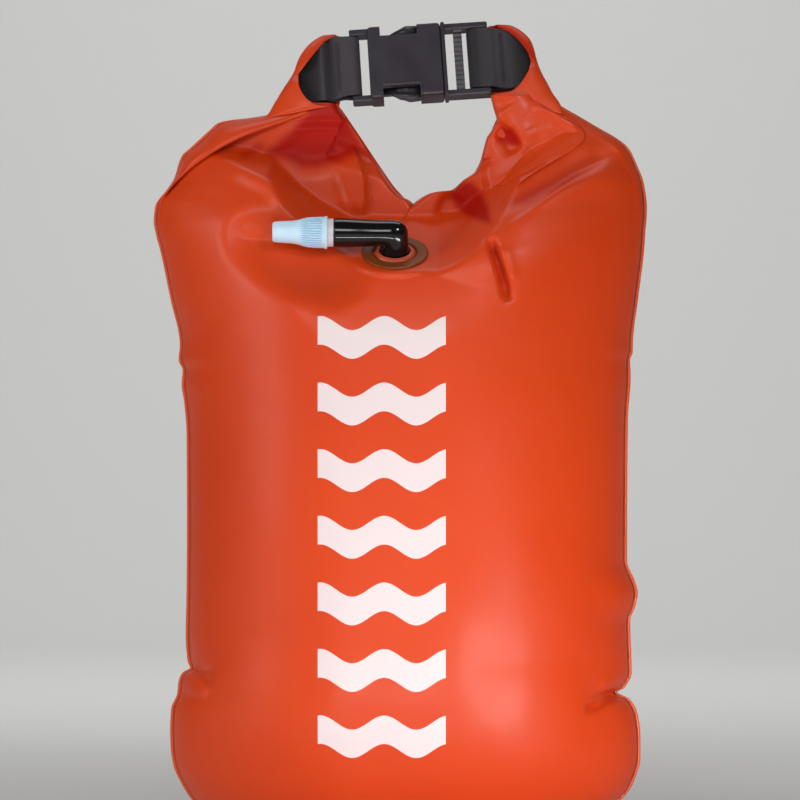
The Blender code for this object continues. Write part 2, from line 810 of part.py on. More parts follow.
def makeStem(tubeAxis):
    insert = elbowBore - fitGap
    profile = [(stemBore, collarStart - stemReach), (insert, collarStart - stemReach), (insert, collarStart),
               (collarRadius, collarStart), (collarRadius, collarEnd), (neckRadius, collarEnd),
               (neckRadius, neckEnd), (stemBore, neckEnd)]
    finish("valve_stem", latheBody(profile), tubeAxis, color=(0.8, 0.8, 0.8), roughness=0.35)


def makePlunger(tubeAxis):
    start = neckEnd - plungerLength / 2
    groove = start + plungerLength / 4
    waist = stemBore - fitGap - 2 * ringWire
    profile = [(plungerRadius, start), (plungerRadius, groove - 2 * ringWire),
               (waist - fitGap, groove - 2 * ringWire), (waist - fitGap, groove + 2 * ringWire),
               (plungerRadius, groove + 2 * ringWire), (plungerRadius, start + plungerLength)]
    finish("valve_plunger", turnedBody(profile), tubeAxis, color=(0.45, 0.6, 0.72), roughness=0.4)
    ringRadius = waist + ringWire
    ring = []
    for step in range(6):
        angle = math.tau * step / 6
        ring.append((ringRadius + ringWire * math.cos(angle), groove + ringWire * math.sin(angle)))
    finish("valve_o_ring", latheBody(ring), tubeAxis, color=(0.02, 0.02, 0.02), roughness=0.6)


def makeCap(tubeAxis):
    # Rim, ribbed grip, cone and mouthpiece outside; a collar well, a thread well and the bore inside
    start = elbowLength + capStart
    rimEnd = start + capRimLength
    wellEnd = neckEnd + plungerLength / 2 + 3 * fitGap
    gripEnd = wellEnd - coneOverlap
    coneEnd = gripEnd + coneLength
    tip = start + capLength
    rows = [
        (collarRadius + fitGap, start, False), (capRimRadius, start, False), (capRimRadius, rimEnd, False),
        (gripRadius, rimEnd, True), (gripRadius, gripEnd, True), (mouthRadius, coneEnd, False),
        (mouthTipRadius, tip, False), (mouthBore, tip, False), (mouthBore, wellEnd, False),
        (neckRadius + fitGap, wellEnd - fitGap, False), (neckRadius + fitGap, collarEnd + fitGap, False),
        (collarRadius + fitGap, collarEnd + fitGap, False),
    ]
    segments = gripRibs * 2
    rings = []
    for radius, z, ribbed in rows:
        ring = []
        for step in range(segments):
            angle = math.tau * step / segments
            r = radius - (gripGroove if ribbed and step % 2 else 0)
            ring.append((r * math.cos(angle), r * math.sin(angle), z))
        rings.append(ring)
    finish("valve_cap", loftBody(rings, closed=True), tubeAxis, color=(0.45, 0.68, 0.84), roughness=0.35)


patchFront = backDepth + fitGap
patchBack = patchFront + anchorPatchThickness
loopY = patchBack + fitGap + anchorLoopRadius
loopZ = anchorHeight - anchorPatchSize / 2 + anchorLoopRadius + ringWireRadius


def makeAnchor():
    half = anchorPatchSize / 2
    corner = half * patchCornerShare
    points = []
    for sx, sz in ((1, 1), (-1, 1), (-1, -1), (1, -1)):
        first = (sx * half, sz * (half - corner))
        second = (sx * (half - corner), sz * half)
        points += [first, second] if sx * sz > 0 else [second, first]
    points = [(x + valveOffset, z + anchorHeight) for x, z in points]
    finish("anchor_patch", prismBody(points, patchFront, patchBack), color=(0.55, 0.06, 0.02),
           roughness=0.35)
    makeAnchorWebbing()
    makeRing()


def makeAnchorWebbing():
    # A folded tab whose loop carries the ring's bar and whose tail lies on the patch
    steps = 8
    flat = math.cos(math.pi / steps)
    inner = (ringWireRadius + fitGap) / flat
    outer = anchorLoopRadius / flat
    tailTop = loopZ + anchorTailLength
    layers = 2 * webbingThickness
    base = patchBack + fitGap
    innerLoop = []
    outerLoop = []
    for step in range(steps):
        angle = math.radians(-67.5) + math.tau * step / steps
        innerLoop.append((inner * math.sin(angle), -inner * math.cos(angle)))
        outerLoop.append((outer * math.sin(angle), -outer * math.cos(angle)))
    outerLoop = [(y + loopY, z + loopZ) for y, z in outerLoop]
    innerLoop = [(y + loopY, z + loopZ) for y, z in innerLoop]
    outerLoop[5] = (base + layers, loopZ + outer)
    outerLoop[6] = (base + layers, tailTop)
    outerLoop[7] = (base, tailTop)
    low = valveOffset - anchorWebbingWidth / 2
    high = valveOffset + anchorWebbingWidth / 2
    rings = []
    for loop, x in ((outerLoop, low), (outerLoop, high), (innerLoop, high), (innerLoop, low)):
        rings.append([(x, y, z) for y, z in loop])
    finish("anchor_webbing", loftBody(rings, closed=True), color=black, roughness=0.8)
    tackZ = tailTop - anchorTailLength * anchorTackShare
    tackY = base + layers + fitGap
    reach = anchorWebbingWidth / 2 - tackInset
    tack = boxBody((valveOffset - reach, tackY, tackZ - bandTackLength / 2),
                   (valveOffset + reach, tackY + bandTackHeight, tackZ + bandTackLength / 2))
    finish("anchor_bar_tack", tack, color=(0.03, 0.03, 0.035), roughness=0.9, smooth=False)


def makeRing():
    # A D-ring that hangs from its straight bar: bar, two short sides and a half-round bow
    axis = empty("d_ring_axis", (valveOffset, loopY, loopZ))
    half = anchorWebbingWidth / 2 + 2 * fitGap + ringWireRadius
    route = [(-half, 0), (half, 0), (half, -ringSideLength)]
    bowSteps = 8
    for step in range(1, bowSteps):
        angle = math.pi * step / bowSteps
        route.append((half * math.cos(angle), -ringSideLength - half * math.sin(angle)))
    route.append((-half, -ringSideLength))
    count = len(route)
    rings = []
    for i in range(count):
        before = Vector(route[i - 1])
        here = Vector(route[i])
        after = Vector(route[(i + 1) % count])
        run = ((here - before).normalized() + (after - here).normalized()).normalized()
        across = Vector((-run.y, run.x))
        stretch = 1 / max((here - before).normalized().dot(run), 0.5)
        ring = []
        for step in range(8):
            angle = math.tau * step / 8
            side = across * math.cos(angle) * ringWireRadius * stretch
            ring.append((here.x + side.x, math.sin(angle) * ringWireRadius, here.y + side.y))
        rings.append(ring)
    finish("d_ring", loftBody(rings, closed=True), axis, color=(0.03, 0.03, 0.032), roughness=0.4)


def main():
    for old in list(bpy.data.objects):
        bpy.data.objects.remove(old)
    turn = (-buckleLean, -buckleTilt, 0)
    place = (buckleOffset, buckleDepth, buckleHeightShare * overallHeight)
    fixedAxis = empty("buckle_axis", place, turn)
    movingAxis = empty("release_axis", place, turn)
    port = empty("valve_port", valvePlace, (valveLean, 0, 0))
    makePanels(port)
    makeSideWeld("left_side_weld", leftOutline, -1)
    makeSideWeld("right_side_weld", rightOutline, 1)
    makeBottomWeld()
    makeRoll(fixedAxis)
    makeRollEnd("left_roll_end", leftEndShares, leftMouthShare, -1, fixedAxis)
    makeRollEnd("right_roll_end", rightEndShares, rightMouthShare, 1, movingAxis)
    makeBuckle(fixedAxis, movingAxis)
    makeStraps(fixedAxis, movingAxis)
    makeValve(port)
    makeAnchor()
    bpy.context.view_layer.update()


main()
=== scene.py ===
from math import atan2, copysign, cos, exp, hypot, pi, radians, sin, sqrt, tau

import bmesh
import bpy
from mathutils import Euler, Matrix, Vector, noise
from mathutils.bvhtree import BVHTree


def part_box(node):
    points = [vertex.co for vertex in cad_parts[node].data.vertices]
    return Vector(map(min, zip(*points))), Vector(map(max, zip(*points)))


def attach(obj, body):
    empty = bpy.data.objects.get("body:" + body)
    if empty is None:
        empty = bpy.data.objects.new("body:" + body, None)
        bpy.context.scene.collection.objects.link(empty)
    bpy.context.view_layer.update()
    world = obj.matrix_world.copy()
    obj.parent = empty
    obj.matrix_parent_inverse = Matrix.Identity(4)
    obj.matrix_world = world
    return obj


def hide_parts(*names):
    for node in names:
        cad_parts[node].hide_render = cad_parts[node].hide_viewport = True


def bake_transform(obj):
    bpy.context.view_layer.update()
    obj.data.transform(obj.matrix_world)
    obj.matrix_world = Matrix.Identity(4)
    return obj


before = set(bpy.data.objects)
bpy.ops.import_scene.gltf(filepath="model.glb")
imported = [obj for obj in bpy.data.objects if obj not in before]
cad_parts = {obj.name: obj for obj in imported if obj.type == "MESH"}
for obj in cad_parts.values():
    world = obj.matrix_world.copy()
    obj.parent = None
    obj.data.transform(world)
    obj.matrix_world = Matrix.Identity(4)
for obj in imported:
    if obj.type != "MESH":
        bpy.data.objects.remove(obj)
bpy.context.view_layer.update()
mm = 0.001
mergeGap = 0.01 * mm
print("frame loaded")

# Camera, looking straight at the front with a long lens
camera = dict(lens=200, sensor=36, distance=2.711, x=-0.00015, height=0.26535)
cameraData = bpy.data.cameras.new("camera")
cameraData.lens = camera["lens"]
cameraData.sensor_width = camera["sensor"]
cameraData.clip_end = 20
cameraObject = bpy.data.objects.new("camera", cameraData)
cameraObject.location = (camera["x"], -camera["distance"], camera["height"])
cameraObject.rotation_euler = (radians(90), 0, 0)
bpy.context.collection.objects.link(cameraObject)
bpy.context.scene.camera = cameraObject
bpy.context.scene.view_settings.view_transform = "Standard"


# Helpers for meshes

def fromBmesh(name, work):
    mesh = bpy.data.meshes.new(name)
    work.to_mesh(mesh)
    work.free()
    mesh.shade_smooth()
    made = bpy.data.objects.new(name, mesh)
    bpy.context.collection.objects.link(made)
    return made


def gridPiece(name, across, along, place, closed=False, capped=False, flip=False):
    # A grid whose points go where place(u, v) says, in millimetres, u across and v along
    work = bmesh.new()
    bmesh.ops.create_grid(work, x_segments=across, y_segments=along, size=1)
    for vertex in work.verts:
        vertex.co = Vector(place((vertex.co.x + 1) / 2, (vertex.co.y + 1) / 2)) * mm
    if closed:
        bmesh.ops.remove_doubles(work, verts=work.verts, dist=mergeGap)
    if capped:
        bmesh.ops.holes_fill(work, edges=[edge for edge in work.edges if edge.is_boundary], sides=0)
    if closed:
        bmesh.ops.recalc_face_normals(work, faces=work.faces)
    if flip:
        bmesh.ops.reverse_faces(work, faces=work.faces)
    return fromBmesh(name, work)


def solidify(piece, thickness, offset=-1):
    step = piece.modifiers.new("Solidify", "SOLIDIFY")
    step.thickness = thickness * mm
    step.offset = offset
    step.use_rim = True
    step.use_even_offset = False
    return piece


def smoothStep(value):
    value = min(max(value, 0), 1)
    return value * value * (3 - 2 * value)


def mix(a, b, share):
    return a + (b - a) * share


def signedPower(value, power):
    return copysign(abs(value) ** power, value)


def curveAt(keys, place):
    # A smooth line through (place, value) keys in rising order, without overshoot
    if place <= keys[0][0]:
        return keys[0][1]
    if place >= keys[-1][0]:
        return keys[-1][1]
    i = 1
    while keys[i][0] < place:
        i += 1
    (x0, y0), (x1, y1) = keys[i - 1], keys[i]
    slope = (y1 - y0) / (x1 - x0)

    def tangent(k):
        if k == 0 or k == len(keys) - 1:
            return slope
        before = (keys[k][1] - keys[k - 1][1]) / (keys[k][0] - keys[k - 1][0])
        after = (keys[k + 1][1] - keys[k][1]) / (keys[k + 1][0] - keys[k][0])
        if before * after <= 0:
            return 0
        return 2 * before * after / (before + after)

    m0 = tangent(i - 1)
    m1 = tangent(i)
    h = x1 - x0
    t = (place - x0) / h
    return ((2 * t ** 3 - 3 * t * t + 1) * y0 + (t ** 3 - 2 * t * t + t) * h * m0
            + (3 * t * t - 2 * t ** 3) * y1 + (t ** 3 - t * t) * h * m1)


def column(rows, k):
    return [(row[0], row[k]) for row in rows]


def lineAt(line, place):
    # A smooth line through (x, y) points, with place counted in points
    return Vector([curveAt([(i, p[k]) for i, p in enumerate(line)], place) for k in (0, 1)])


def paint(piece, name, value):
    # A point attribute from value(point), with the point in millimetres
    values = piece.data.attributes.new(name, "FLOAT", "POINT")
    for i, vertex in enumerate(piece.data.vertices):
        values.data[i].value = value(vertex.co / mm)
    return piece


def dress(piece, look, body, slot, *nodes):
    piece.data.materials.append(look)
    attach(piece, body)
    if nodes:
        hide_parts(*nodes)


def recoat(name, look):
    # A CAD node keeps its shape and gets a material
    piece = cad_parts[name]
    piece.data.materials.clear()
    piece.data.materials.append(look)
    return piece


# Helpers for materials

def inputsOf(made):
    return made.node_tree.nodes["Principled BSDF"].inputs


def material(name, color, roughness, **inputs):
    made = bpy.data.materials.new(name)
    made.use_nodes = True
    inputsOf(made)["Base Color"].default_value = (*color, 1)
    inputsOf(made)["Roughness"].default_value = roughness
    for key, value in inputs.items():
        inputsOf(made)[key.replace("_", " ")].default_value = value
    return made


def node(made, kind, **values):
    new = made.node_tree.nodes.new("ShaderNode" + kind)
    for key, value in values.items():
        if key in new.inputs:
            new.inputs[key].default_value = value
        else:
            setattr(new, key, value)
    return new


def link(made, value, socket):
    # The value is a colour, a number or the output of a node
    if isinstance(value, (tuple, list)):
        socket.default_value = (*value, 1)
    elif isinstance(value, (int, float)):
        socket.default_value = value
    else:
        made.node_tree.links.new(value, socket)


def objectCoords(made):
    return node(made, "TexCoord").outputs["Object"]


def axes(made):
    parts = node(made, "SeparateXYZ")
    link(made, objectCoords(made), parts.inputs[0])
    return parts.outputs


def noiseOf(made, scale, detail):
    texture = node(made, "TexNoise", Scale=scale, Detail=detail)
    link(made, objectCoords(made), texture.inputs["Vector"])
    return texture.outputs["Fac"]


def painted(made, name):
    return node(made, "Attribute", attribute_name=name).outputs["Fac"]


def ramp(made, factor, low, high, fromLow=0.3, fromHigh=0.7):
    mapped = node(made, "MapRange")
    for value, socket in zip((factor, fromLow, fromHigh, low, high), mapped.inputs):
        link(made, value, socket)
    return mapped.outputs["Result"]


def calc(made, operation, *values):
    new = node(made, "Math", operation=operation)
    for value, socket in zip(values, new.inputs):
        link(made, value, socket)
    return new.outputs[0]


def product(made, result, *values):
    for value in values:
        result = calc(made, "MULTIPLY", result, value)
    return result


def wave(made, value, length):
    return calc(made, "SINE", product(made, value, tau / (length * mm)))


def mixColor(made, factor, a, b):
    new = node(made, "Mix", data_type="RGBA")
    for k, value in ((0, factor), (6, a), (7, b)):
        link(made, value, new.inputs[k])
    return new.outputs[2]


def bumpFrom(made, height, strength, distance):
    bump = node(made, "Bump", Strength=strength, Distance=distance * mm)
    link(made, height, bump.inputs["Height"])
    link(made, bump.outputs["Normal"], inputsOf(made)["Normal"])


def coatedFabric(name, look, printed=False):
    made = material(name, look["color"], look["roughness"], Coat_Roughness=look["coatRoughness"])
    cloud = noiseOf(made, look["cloudScale"], 3)
    color = mixColor(made, ramp(made, cloud, 0, 1), look["color"], look["shade"])
    if printed:
        color = mixColor(made, waveMask(made), color, printLook["color"])
    # painted shade: where this attribute is high, the colour turns a deep red and the specular and coat
    # drop, standing in for shade in hollows
    paintedShade = painted(made, "paintedShade")
    link(made, mixColor(made, paintedShade, color, look["paintedShadeColor"]), inputsOf(made)["Base Color"])
    for socket, key in (("Specular IOR Level", "specular"), ("Coat Weight", "coat")):
        link(made, ramp(made, paintedShade, look[key], look[key] * 0.25, 0, 1), inputsOf(made)[socket])
    patches = noiseOf(made, look["cloudScale"] * 6, 2)
    link(made, ramp(made, patches, look["roughness"] - 0.04, look["roughness"] + 0.05),
         inputsOf(made)["Roughness"])
    # threads both ways and a fine grain
    x, y, z = axes(made)
    threads = product(made, wave(made, x, look["weavePitch"]), wave(made, z, look["weavePitch"]))
    grain = product(made, noiseOf(made, 900, 2), 1.5)
    bumpFrom(made, calc(made, "ADD", threads, grain), look["bump"], look["bumpDistance"])
    return made


# Printed waves down the front, a plain motif in pale ink
printLook = dict(color=(0.78, 0.66, 0.66), middle=-11, halfWidth=38, low=57, high=326, pitch=39.5,
                 band=17, swing=4.2, length=38)


def waveMask(made):
    x, y, z = axes(made)
    swing = product(made, wave(made, x, printLook["length"]), printLook["swing"] * mm)
    height = calc(made, "SUBTRACT", calc(made, "ADD", z, swing), printLook["low"] * mm)
    share = calc(made, "FRACT", calc(made, "DIVIDE", height, printLook["pitch"] * mm))
    off = calc(made, "ABSOLUTE", calc(made, "SUBTRACT", x, printLook["middle"] * mm))
    return product(made, calc(made, "LESS_THAN", share, printLook["band"] / printLook["pitch"]),
                   calc(made, "LESS_THAN", off, printLook["halfWidth"] * mm),
                   calc(made, "LESS_THAN", y, -0.02), calc(made, "GREATER_THAN", height, 0),
                   calc(made, "LESS_THAN", height, (printLook["high"] - printLook["low"]) * mm))


# the deep colour is painted shade, a darker red put where shade falls in hollows and under folds
bagLook = dict(color=(0.66, 0.055, 0.006), shade=(0.61, 0.046, 0.005), paintedShadeColor=(0.38, 0.004, 0.003),
               roughness=0.40, specular=0.25, coat=0.10, coatRoughness=0.2, cloudScale=7, weavePitch=0.95,
               bump=0.16, bumpDistance=0.2)
fabric = coatedFabric("coatedFabric", bagLook)
printedFabric = coatedFabric("printedFabric", bagLook, printed=True)
weldLook = dict(bagLook, color=(0.72, 0.11, 0.030), shade=(0.66, 0.085, 0.022), roughness=0.34)
weldMaterial = coatedFabric("weldEdge", weldLook)


# Outline of the bag and rows of its skin, in millimetres: (place, x, height) points
# A row has a place number: its height at the side weld, carried on over the shoulders

def edgeOf(points):
    # A point with no height of its own is as high as its place
    return [point if len(point) > 2 else (*point, point[0]) for point in points]


leftEdge = edgeOf([
    (-27, -69, 0), (0, -80.9), (1, -91.7), (4, -102.2), (10, -113.8), (20, -125.2),
    (32, -133.1), (42.7, -137.8), (53, -139.4), (64.7, -139.8), (76.9, -139.2),
    (86.6, -135.4), (93, -134.8), (98.5, -132.6), (101.9, -127.6),
    (105.5, -128.9), (108.6, -129.5), (121.4, -130.3), (148.8, -129.8),
    (192.2, -129.5), (245.8, -129.8), (264.7, -131.3), (275.1, -132.8),
    (283.7, -132.2), (289.8, -134.6), (298.9, -133.9), (328, -139.8),
    (356.9, -145.9), (366, -148.4), (374.5, -149.8), (383.7, -148.8),
    (391, -143.6), (398.9, -138), (414.2, -132.6), (418, -128.4),
    (424, -121.8, 424.1), (430, -115.1, 430.2), (433.2, -111.5, 433.4), (435.5, -107.8, 434.7),
    (452, -80.7, 438.9), (462, -76, 446.5),
])
rightEdge = edgeOf([
    (-27, 75, 0), (0, 86.4), (1, 97.2), (4, 107.7), (10, 120), (20, 132.5),
    (32, 141.6), (48.2, 146), (62, 145.9), (74.4, 144), (82.4, 139.6),
    (87.2, 131.4), (90.3, 136.4), (99.4, 140.6), (131.2, 139.7),
    (139, 142.6), (147.6, 144.3), (155, 142.4), (167.1, 137.8),
    (192.2, 137.8), (225.7, 138), (253.8, 138.3), (279.4, 140),
    (289.8, 139.6), (294.6, 141.2), (301.3, 141.4), (328, 144.6),
    (356.9, 148.2), (366, 148.8), (381.9, 149.9), (396.5, 148.2),
    (409, 143.6), (419.1, 138.3), (440, 117.9, 432.5), (462, 96.4, 445),
])
seam = [
    (-27, -3.2, 0), (0, -3.2, 0), (5, -3.2, 4), (20, -3.2, 18), (44, -3.2, 42), (74, -3.2, 72.8),
    (102, -3.2, 101), (150, -3.2, 150), (250, -3.2, 250), (301.5, -3.2, 299), (329, -3.2, 323),
    (343, -3.2, 332.8), (357, -3.2, 342.6), (370, -3.2, 353), (383, -1.5, 364), (395, 2.4, 374.8),
    (405, 7.6, 384.6),
]
loopLeft = seam + [(418, -1.4, 391.2), (434, -14, 409), (448, -26.2, 427.4), (462, -39.8, 446.2)]
loopRight = seam + [(412, 20, 392), (418, 30.5, 393.2), (424, 38.5, 399.6), (430, 45.6, 404.6),
                    (438, 49.8, 414), (448, 53.6, 426), (462, 61, 437)]

rowPlaces = []
for low, high, steps in ((-27, 0, 6), (0, 75, 26), (75, 125, 34), (125, 325, 60), (325, 462, 114)):
    rowPlaces += [low + (high - low) * i / steps for i in range(steps)]
rowPlaces.append(462)
columns = 84

shoulderDepth = [
    (-27, 3), (0, 30), (5, 43.5), (20, 59), (44, 69.8), (74, 75.4), (102, 77), (240, 77.4),
    (300, 76.8), (329, 75.4), (343, 74), (357, 71.6), (370, 66.5), (383, 58.5), (395, 48), (405, 37),
    (418, 24), (434, 13.5), (448, 9), (462, 7),
]
backLow = [(-27, 3), (0, 30), (5, 38), (20, 51.7), (44, 61), (74, 67), (102, 68), (290, 68)]
backDepth = backLow + [
    (312, 66.8), (329, 64.6), (343, 59.5), (357, 49.5), (370, 36), (383, 22), (395, 14), (405, 10), (434, 8),
    (462, 7),
]
backShoulderDepth = backLow + [
    (329, 66), (343, 63), (357, 58.5), (370, 52), (383, 44), (395, 35), (405, 27), (418, 18), (434, 11),
    (462, 7),
]
flatShare = 0.168

# Dish round the valve: its smile-shaped rim, and the deck that the valve stands on
smileLine = [(-60, 384), (-66, 372), (-74, 356), (-75.2, 344.6), (-70.3, 326.3), (-61.2, 308.1),
             (-42.9, 298.9), (-21.5, 295.8), (-0.2, 295.8), (21.2, 300.1), (42.5, 308.1), (53.5, 317.2),
             (60.8, 327.6), (61, 336), (58.6, 346), (55.5, 355), (52, 365), (47, 376)]
shoulderLine = [(-36, 350), (-46, 366), (-52.6, 378.2), (-63, 390.4), (-76.4, 397.1), (-91.7, 404.4),
                (-106.3, 410.5), (-118, 414)]
dish = dict(slope=0.20, radius=4, armDepth=8.2)
capDent = dict(line=[(-92, 367), (-48, 365.5)], depth=42, fall=0.08, slope=0.34, curve=0.011, reach=5)
deck = dict(x=-3.2, y=46, z=353.2, slope=1.664, halfWidth=25)


def rowOf(edge, inner, place):
    xs = column(edge, 1)
    edgeX = curveAt(xs, place)
    soft = [curveAt(xs, place + step) for step in range(-24, 25, 3)]
    share = smoothStep((place - 20) / 30) * smoothStep((330 - place) / 30)
    return (edgeX, curveAt(column(edge, 2), place), curveAt(column(inner, 1), place),
            curveAt(column(inner, 2), place), mix(edgeX, sum(soft) / len(soft), share))


def crease(line, height, above, below):
    # A fold or hollow: a line of (x, z) points, height toward the viewer, and reach above and below it
    reach = 3 * max(above, below) + 3
    xs, zs = zip(*line)
    return dict(line=line, height=height, above=above, below=below,
                box=(min(xs) - reach, max(xs) + reach, min(zs) - reach, max(zs) + reach))


frontFolds = [
    # left shoulder: the ridge under the flap, the hollow between them and the dark pocket of the arm
    crease([(-106.3, 409.5), (-91.7, 403.4), (-76.4, 396.1), (-63, 389.4), (-52.6, 377.2)], 3.4, 2.2, 7),
    crease([(-31.5, 428), (-26.5, 413.5), (-22.8, 400), (-22.2, 388), (-23.4, 374)], 4.6, 2.2, 10),
    crease([(-40, 404), (-35.5, 390), (-31.5, 378), (-29.5, 371)], 0.9, 1.4, 3),
    crease([(-112, 402), (-92, 392), (-74, 383), (-60, 372)], -1.2, 5, 5),
    # right shoulder
    crease([(60, 364), (67.9, 371.7), (73.8, 375.6), (85.4, 384.3), (97.1, 393.1), (108.8, 400.9),
            (118.5, 405.7), (126, 411.6), (136, 416.8)], 2, 1.3, 9),
    crease([(56, 375), (64, 381), (73.8, 386.2), (87.4, 393.6), (102, 401.4), (114.6, 407.8), (127, 414),
            (137, 419)], -4.5, 9, 5),
    crease([(52.3, 364.9), (56, 353.8), (59, 344.6), (61.5, 335.5), (63.3, 327.6), (64, 322)], -8, 3, 2.4),
    crease([(67, 336), (64, 347), (60, 358)], 1.2, 4, 4),
    crease([(22, 386), (34, 381), (44, 374)], -7, 7, 7),
    # pinches in the side welds
    crease([(-129.6, 101.9), (-122.2, 99.4), (-113, 94.5)], -5, 2.6, 2.6),
    crease([(133, 87.2), (124.9, 84.2), (118.2, 81.1), (109.6, 79.3)], -7, 2.4, 2.4),
    crease([(136, 92), (128, 93), (120, 95)], 2, 4, 4),
    crease([(-132, 92), (-124, 90), (-116, 87)], 1.8, 4, 4),
]
backFolds = [
    crease([(-50, 436), (-80, 424), (-108, 404), (-128, 380)], 6, 9, 4),
    crease([(60, 436), (86, 420), (112, 402), (130, 380)], 6, 4, 9),
    crease([(-129.6, 101.9), (-120, 100), (-108, 99)], -5, 3, 3),
    crease([(133, 87.2), (122, 88), (110, 90)], -6, 3, 3),
]


def lineDistance(line, x, z):
    # Distance to a line of points, signed with the left of its run positive, and how far along it is
    best = None
    total = 0
    for (x0, z0), (x1, z1) in zip(line, line[1:]):
        length = hypot(x1 - x0, z1 - z0)
        dx = (x1 - x0) / length
        dz = (z1 - z0) / length
        along = (x - x0) * dx + (z - z0) * dz
        held = min(max(along, 0), length)
        distance = hypot(x - x0 - dx * held, z - z0 - dz * held)
        if best is None or distance < best[0]:
            side = dx * (z - z0) - dz * (x - x0)
            best = (distance, side, total + held, max(-along, along - length, 0))
        total += length
    distance, side, run, over = best
    return (distance if side > 0 else -distance), run, total, over


def fadedEnds(run, total, share):
    return smoothStep(run / (share * total)) * smoothStep((total - run) / (share * total))


def foldAt(fold, x, z):
    # Height that a fold adds at a point, fading at both ends of its line
    distance, run, total, over = lineDistance(fold["line"], x, z)
    above = distance > 0
    if fold["line"][-1][0] < fold["line"][0][0]:
        above = not above
    reach = fold["above"] if above else fold["below"]
    if abs(distance) > 3 * reach + 2:
        return 0
    return (fold["height"] * exp(-(distance / reach) ** 2) * fadedEnds(run, total, 0.22)
            * exp(-(over / 4) ** 2))


def foldsAt(folds, x, z):
    added = 0
    for fold in folds:
        x0, x1, z0, z1 = fold["box"]
        if x0 < x < x1 and z0 < z < z1:
            added += foldAt(fold, x, z)
    return added


# Hollows with painted shade, where the cloth's colour turns a deeper red to stand in for shade: outlines,
# and lines with a reach
shadeStrength = 0.9
shadedHollowPools = [
    dict(edge=[(-54.4, 443.2), (-67.1, 429.1), (-82.6, 415), (-69, 411.1), (-60.3, 406.7), (-50.5, 406.7),
               (-35.9, 410.6), (-27.2, 414.5), (-17.5, 411.6), (-37.9, 448)], soft=4, sink=4),
    dict(edge=[(30, 391), (36, 397), (42.6, 398.5), (48.5, 393.5), (53.2, 382), (54.4, 370.5), (41.7, 376),
               (33.9, 382.4)], soft=2.5, sink=2),
    dict(edge=[(62.1, 431), (67.9, 430), (71.8, 424.2), (73.3, 420), (66, 420), (59.2, 423.3)],
         soft=2.5, sink=0, flap=True),
]
shadedHollowLines = [
    dict(line=[(58, 379), (64, 381.5), (73.8, 385.3), (87.4, 392.1), (102, 398.9), (118, 407)], reach=4.5,
         strength=0.6),
    dict(line=[(52.6, 364), (56, 353.8), (59, 344.6), (61.5, 335.5), (63.3, 327)], reach=2.2, strength=0.7),
    dict(line=[(-100, 411), (-89, 417.5), (-80, 421)], reach=3.5, strength=0.55),
]


def poolShare(pool, x, z, soft):
    # 1 inside the outline and 0 outside, soft at its edge
    edge = pool["edge"]
    away = abs(lineDistance(edge + edge[:1], x, z)[0])
    inside = False
    for (x0, z0), (x1, z1) in zip(edge, edge[1:] + edge[:1]):
        if (z0 > z) != (z1 > z) and x < x0 + (z - z0) * (x1 - x0) / (z1 - z0):
            inside = not inside
    return smoothStep(0.5 + (away if inside else -away) / soft / 2)


def paintedShadeAt(x, z, flap):
    value = 0
    for pool in shadedHollowPools:
        if flap or not pool.get("flap"):
            value = max(value, shadeStrength * poolShare(pool, x, z, pool["soft"]))
    for pool in shadedHollowLines:
        away, run, total, over = lineDistance(pool["line"], x, z)
        value = max(value, pool["strength"] * fadedEnds(run, total, 0.3) * exp(-(away / pool["reach"]) ** 2))
    return value


# Painted shade: how strongly each point of the skin or flap is darkened, stored for the material
def paintShade(piece, flap=False):
    return paint(piece, "paintedShade", lambda p: paintedShadeAt(p.x, p.z, flap) if p.z > 320 and p.y < 2 else 0)


def softMin(a, b, reach):
    share = max(reach - abs(a - b), 0) / reach
    return min(a, b) - share * share * reach / 4


def softMax(a, b, reach):
    return -softMin(-a, -b, reach)


def frontDepthAt(x, z, full):
    # The dish drops away inside its rim, the deck slopes back to the loop, and the arms lie flat
    if z < 285:
        return full
    inside, run, total, over = lineDistance(smileLine, x, z)
    if inside > 0:
        full -= dish["slope"] * (hypot(inside, dish["radius"]) - dish["radius"])
    off = abs(x - deck["x"]) - deck["halfWidth"]
    rise = 0.55 * max(off, 0) + 0.014 * max(off, 0) ** 2
    plane = deck["y"] - deck["slope"] * (z - deck["z"])
    depth = softMin(full, plane + rise, 4)
    if x < -35 and z > 364:
        beyond = -lineDistance(shoulderLine, x, z)[0]
        if beyond > 0:
            cut = 1.1 * (hypot(beyond, 1.5) - 1.5) * smoothStep((z - 364) / 10)
            depth = min(depth, full - cut)
    away = max(abs(lineDistance(capDent["line"], x, z)[0]) - capDent["reach"], 0)
    low = capDent["depth"] + capDent["fall"] * min(max(-48 - x, 0), 44)
    depth = softMin(depth, low + capDent["slope"] * away + capDent["curve"] * away ** 2, 9)
    away = smoothStep((hypot(x - deck["x"], (z - deck["z"]) / 0.515) - 21.5) / 9)
    depth = mix(plane, depth, away)
    return softMax(depth, min(full, dish["armDepth"]), 4)


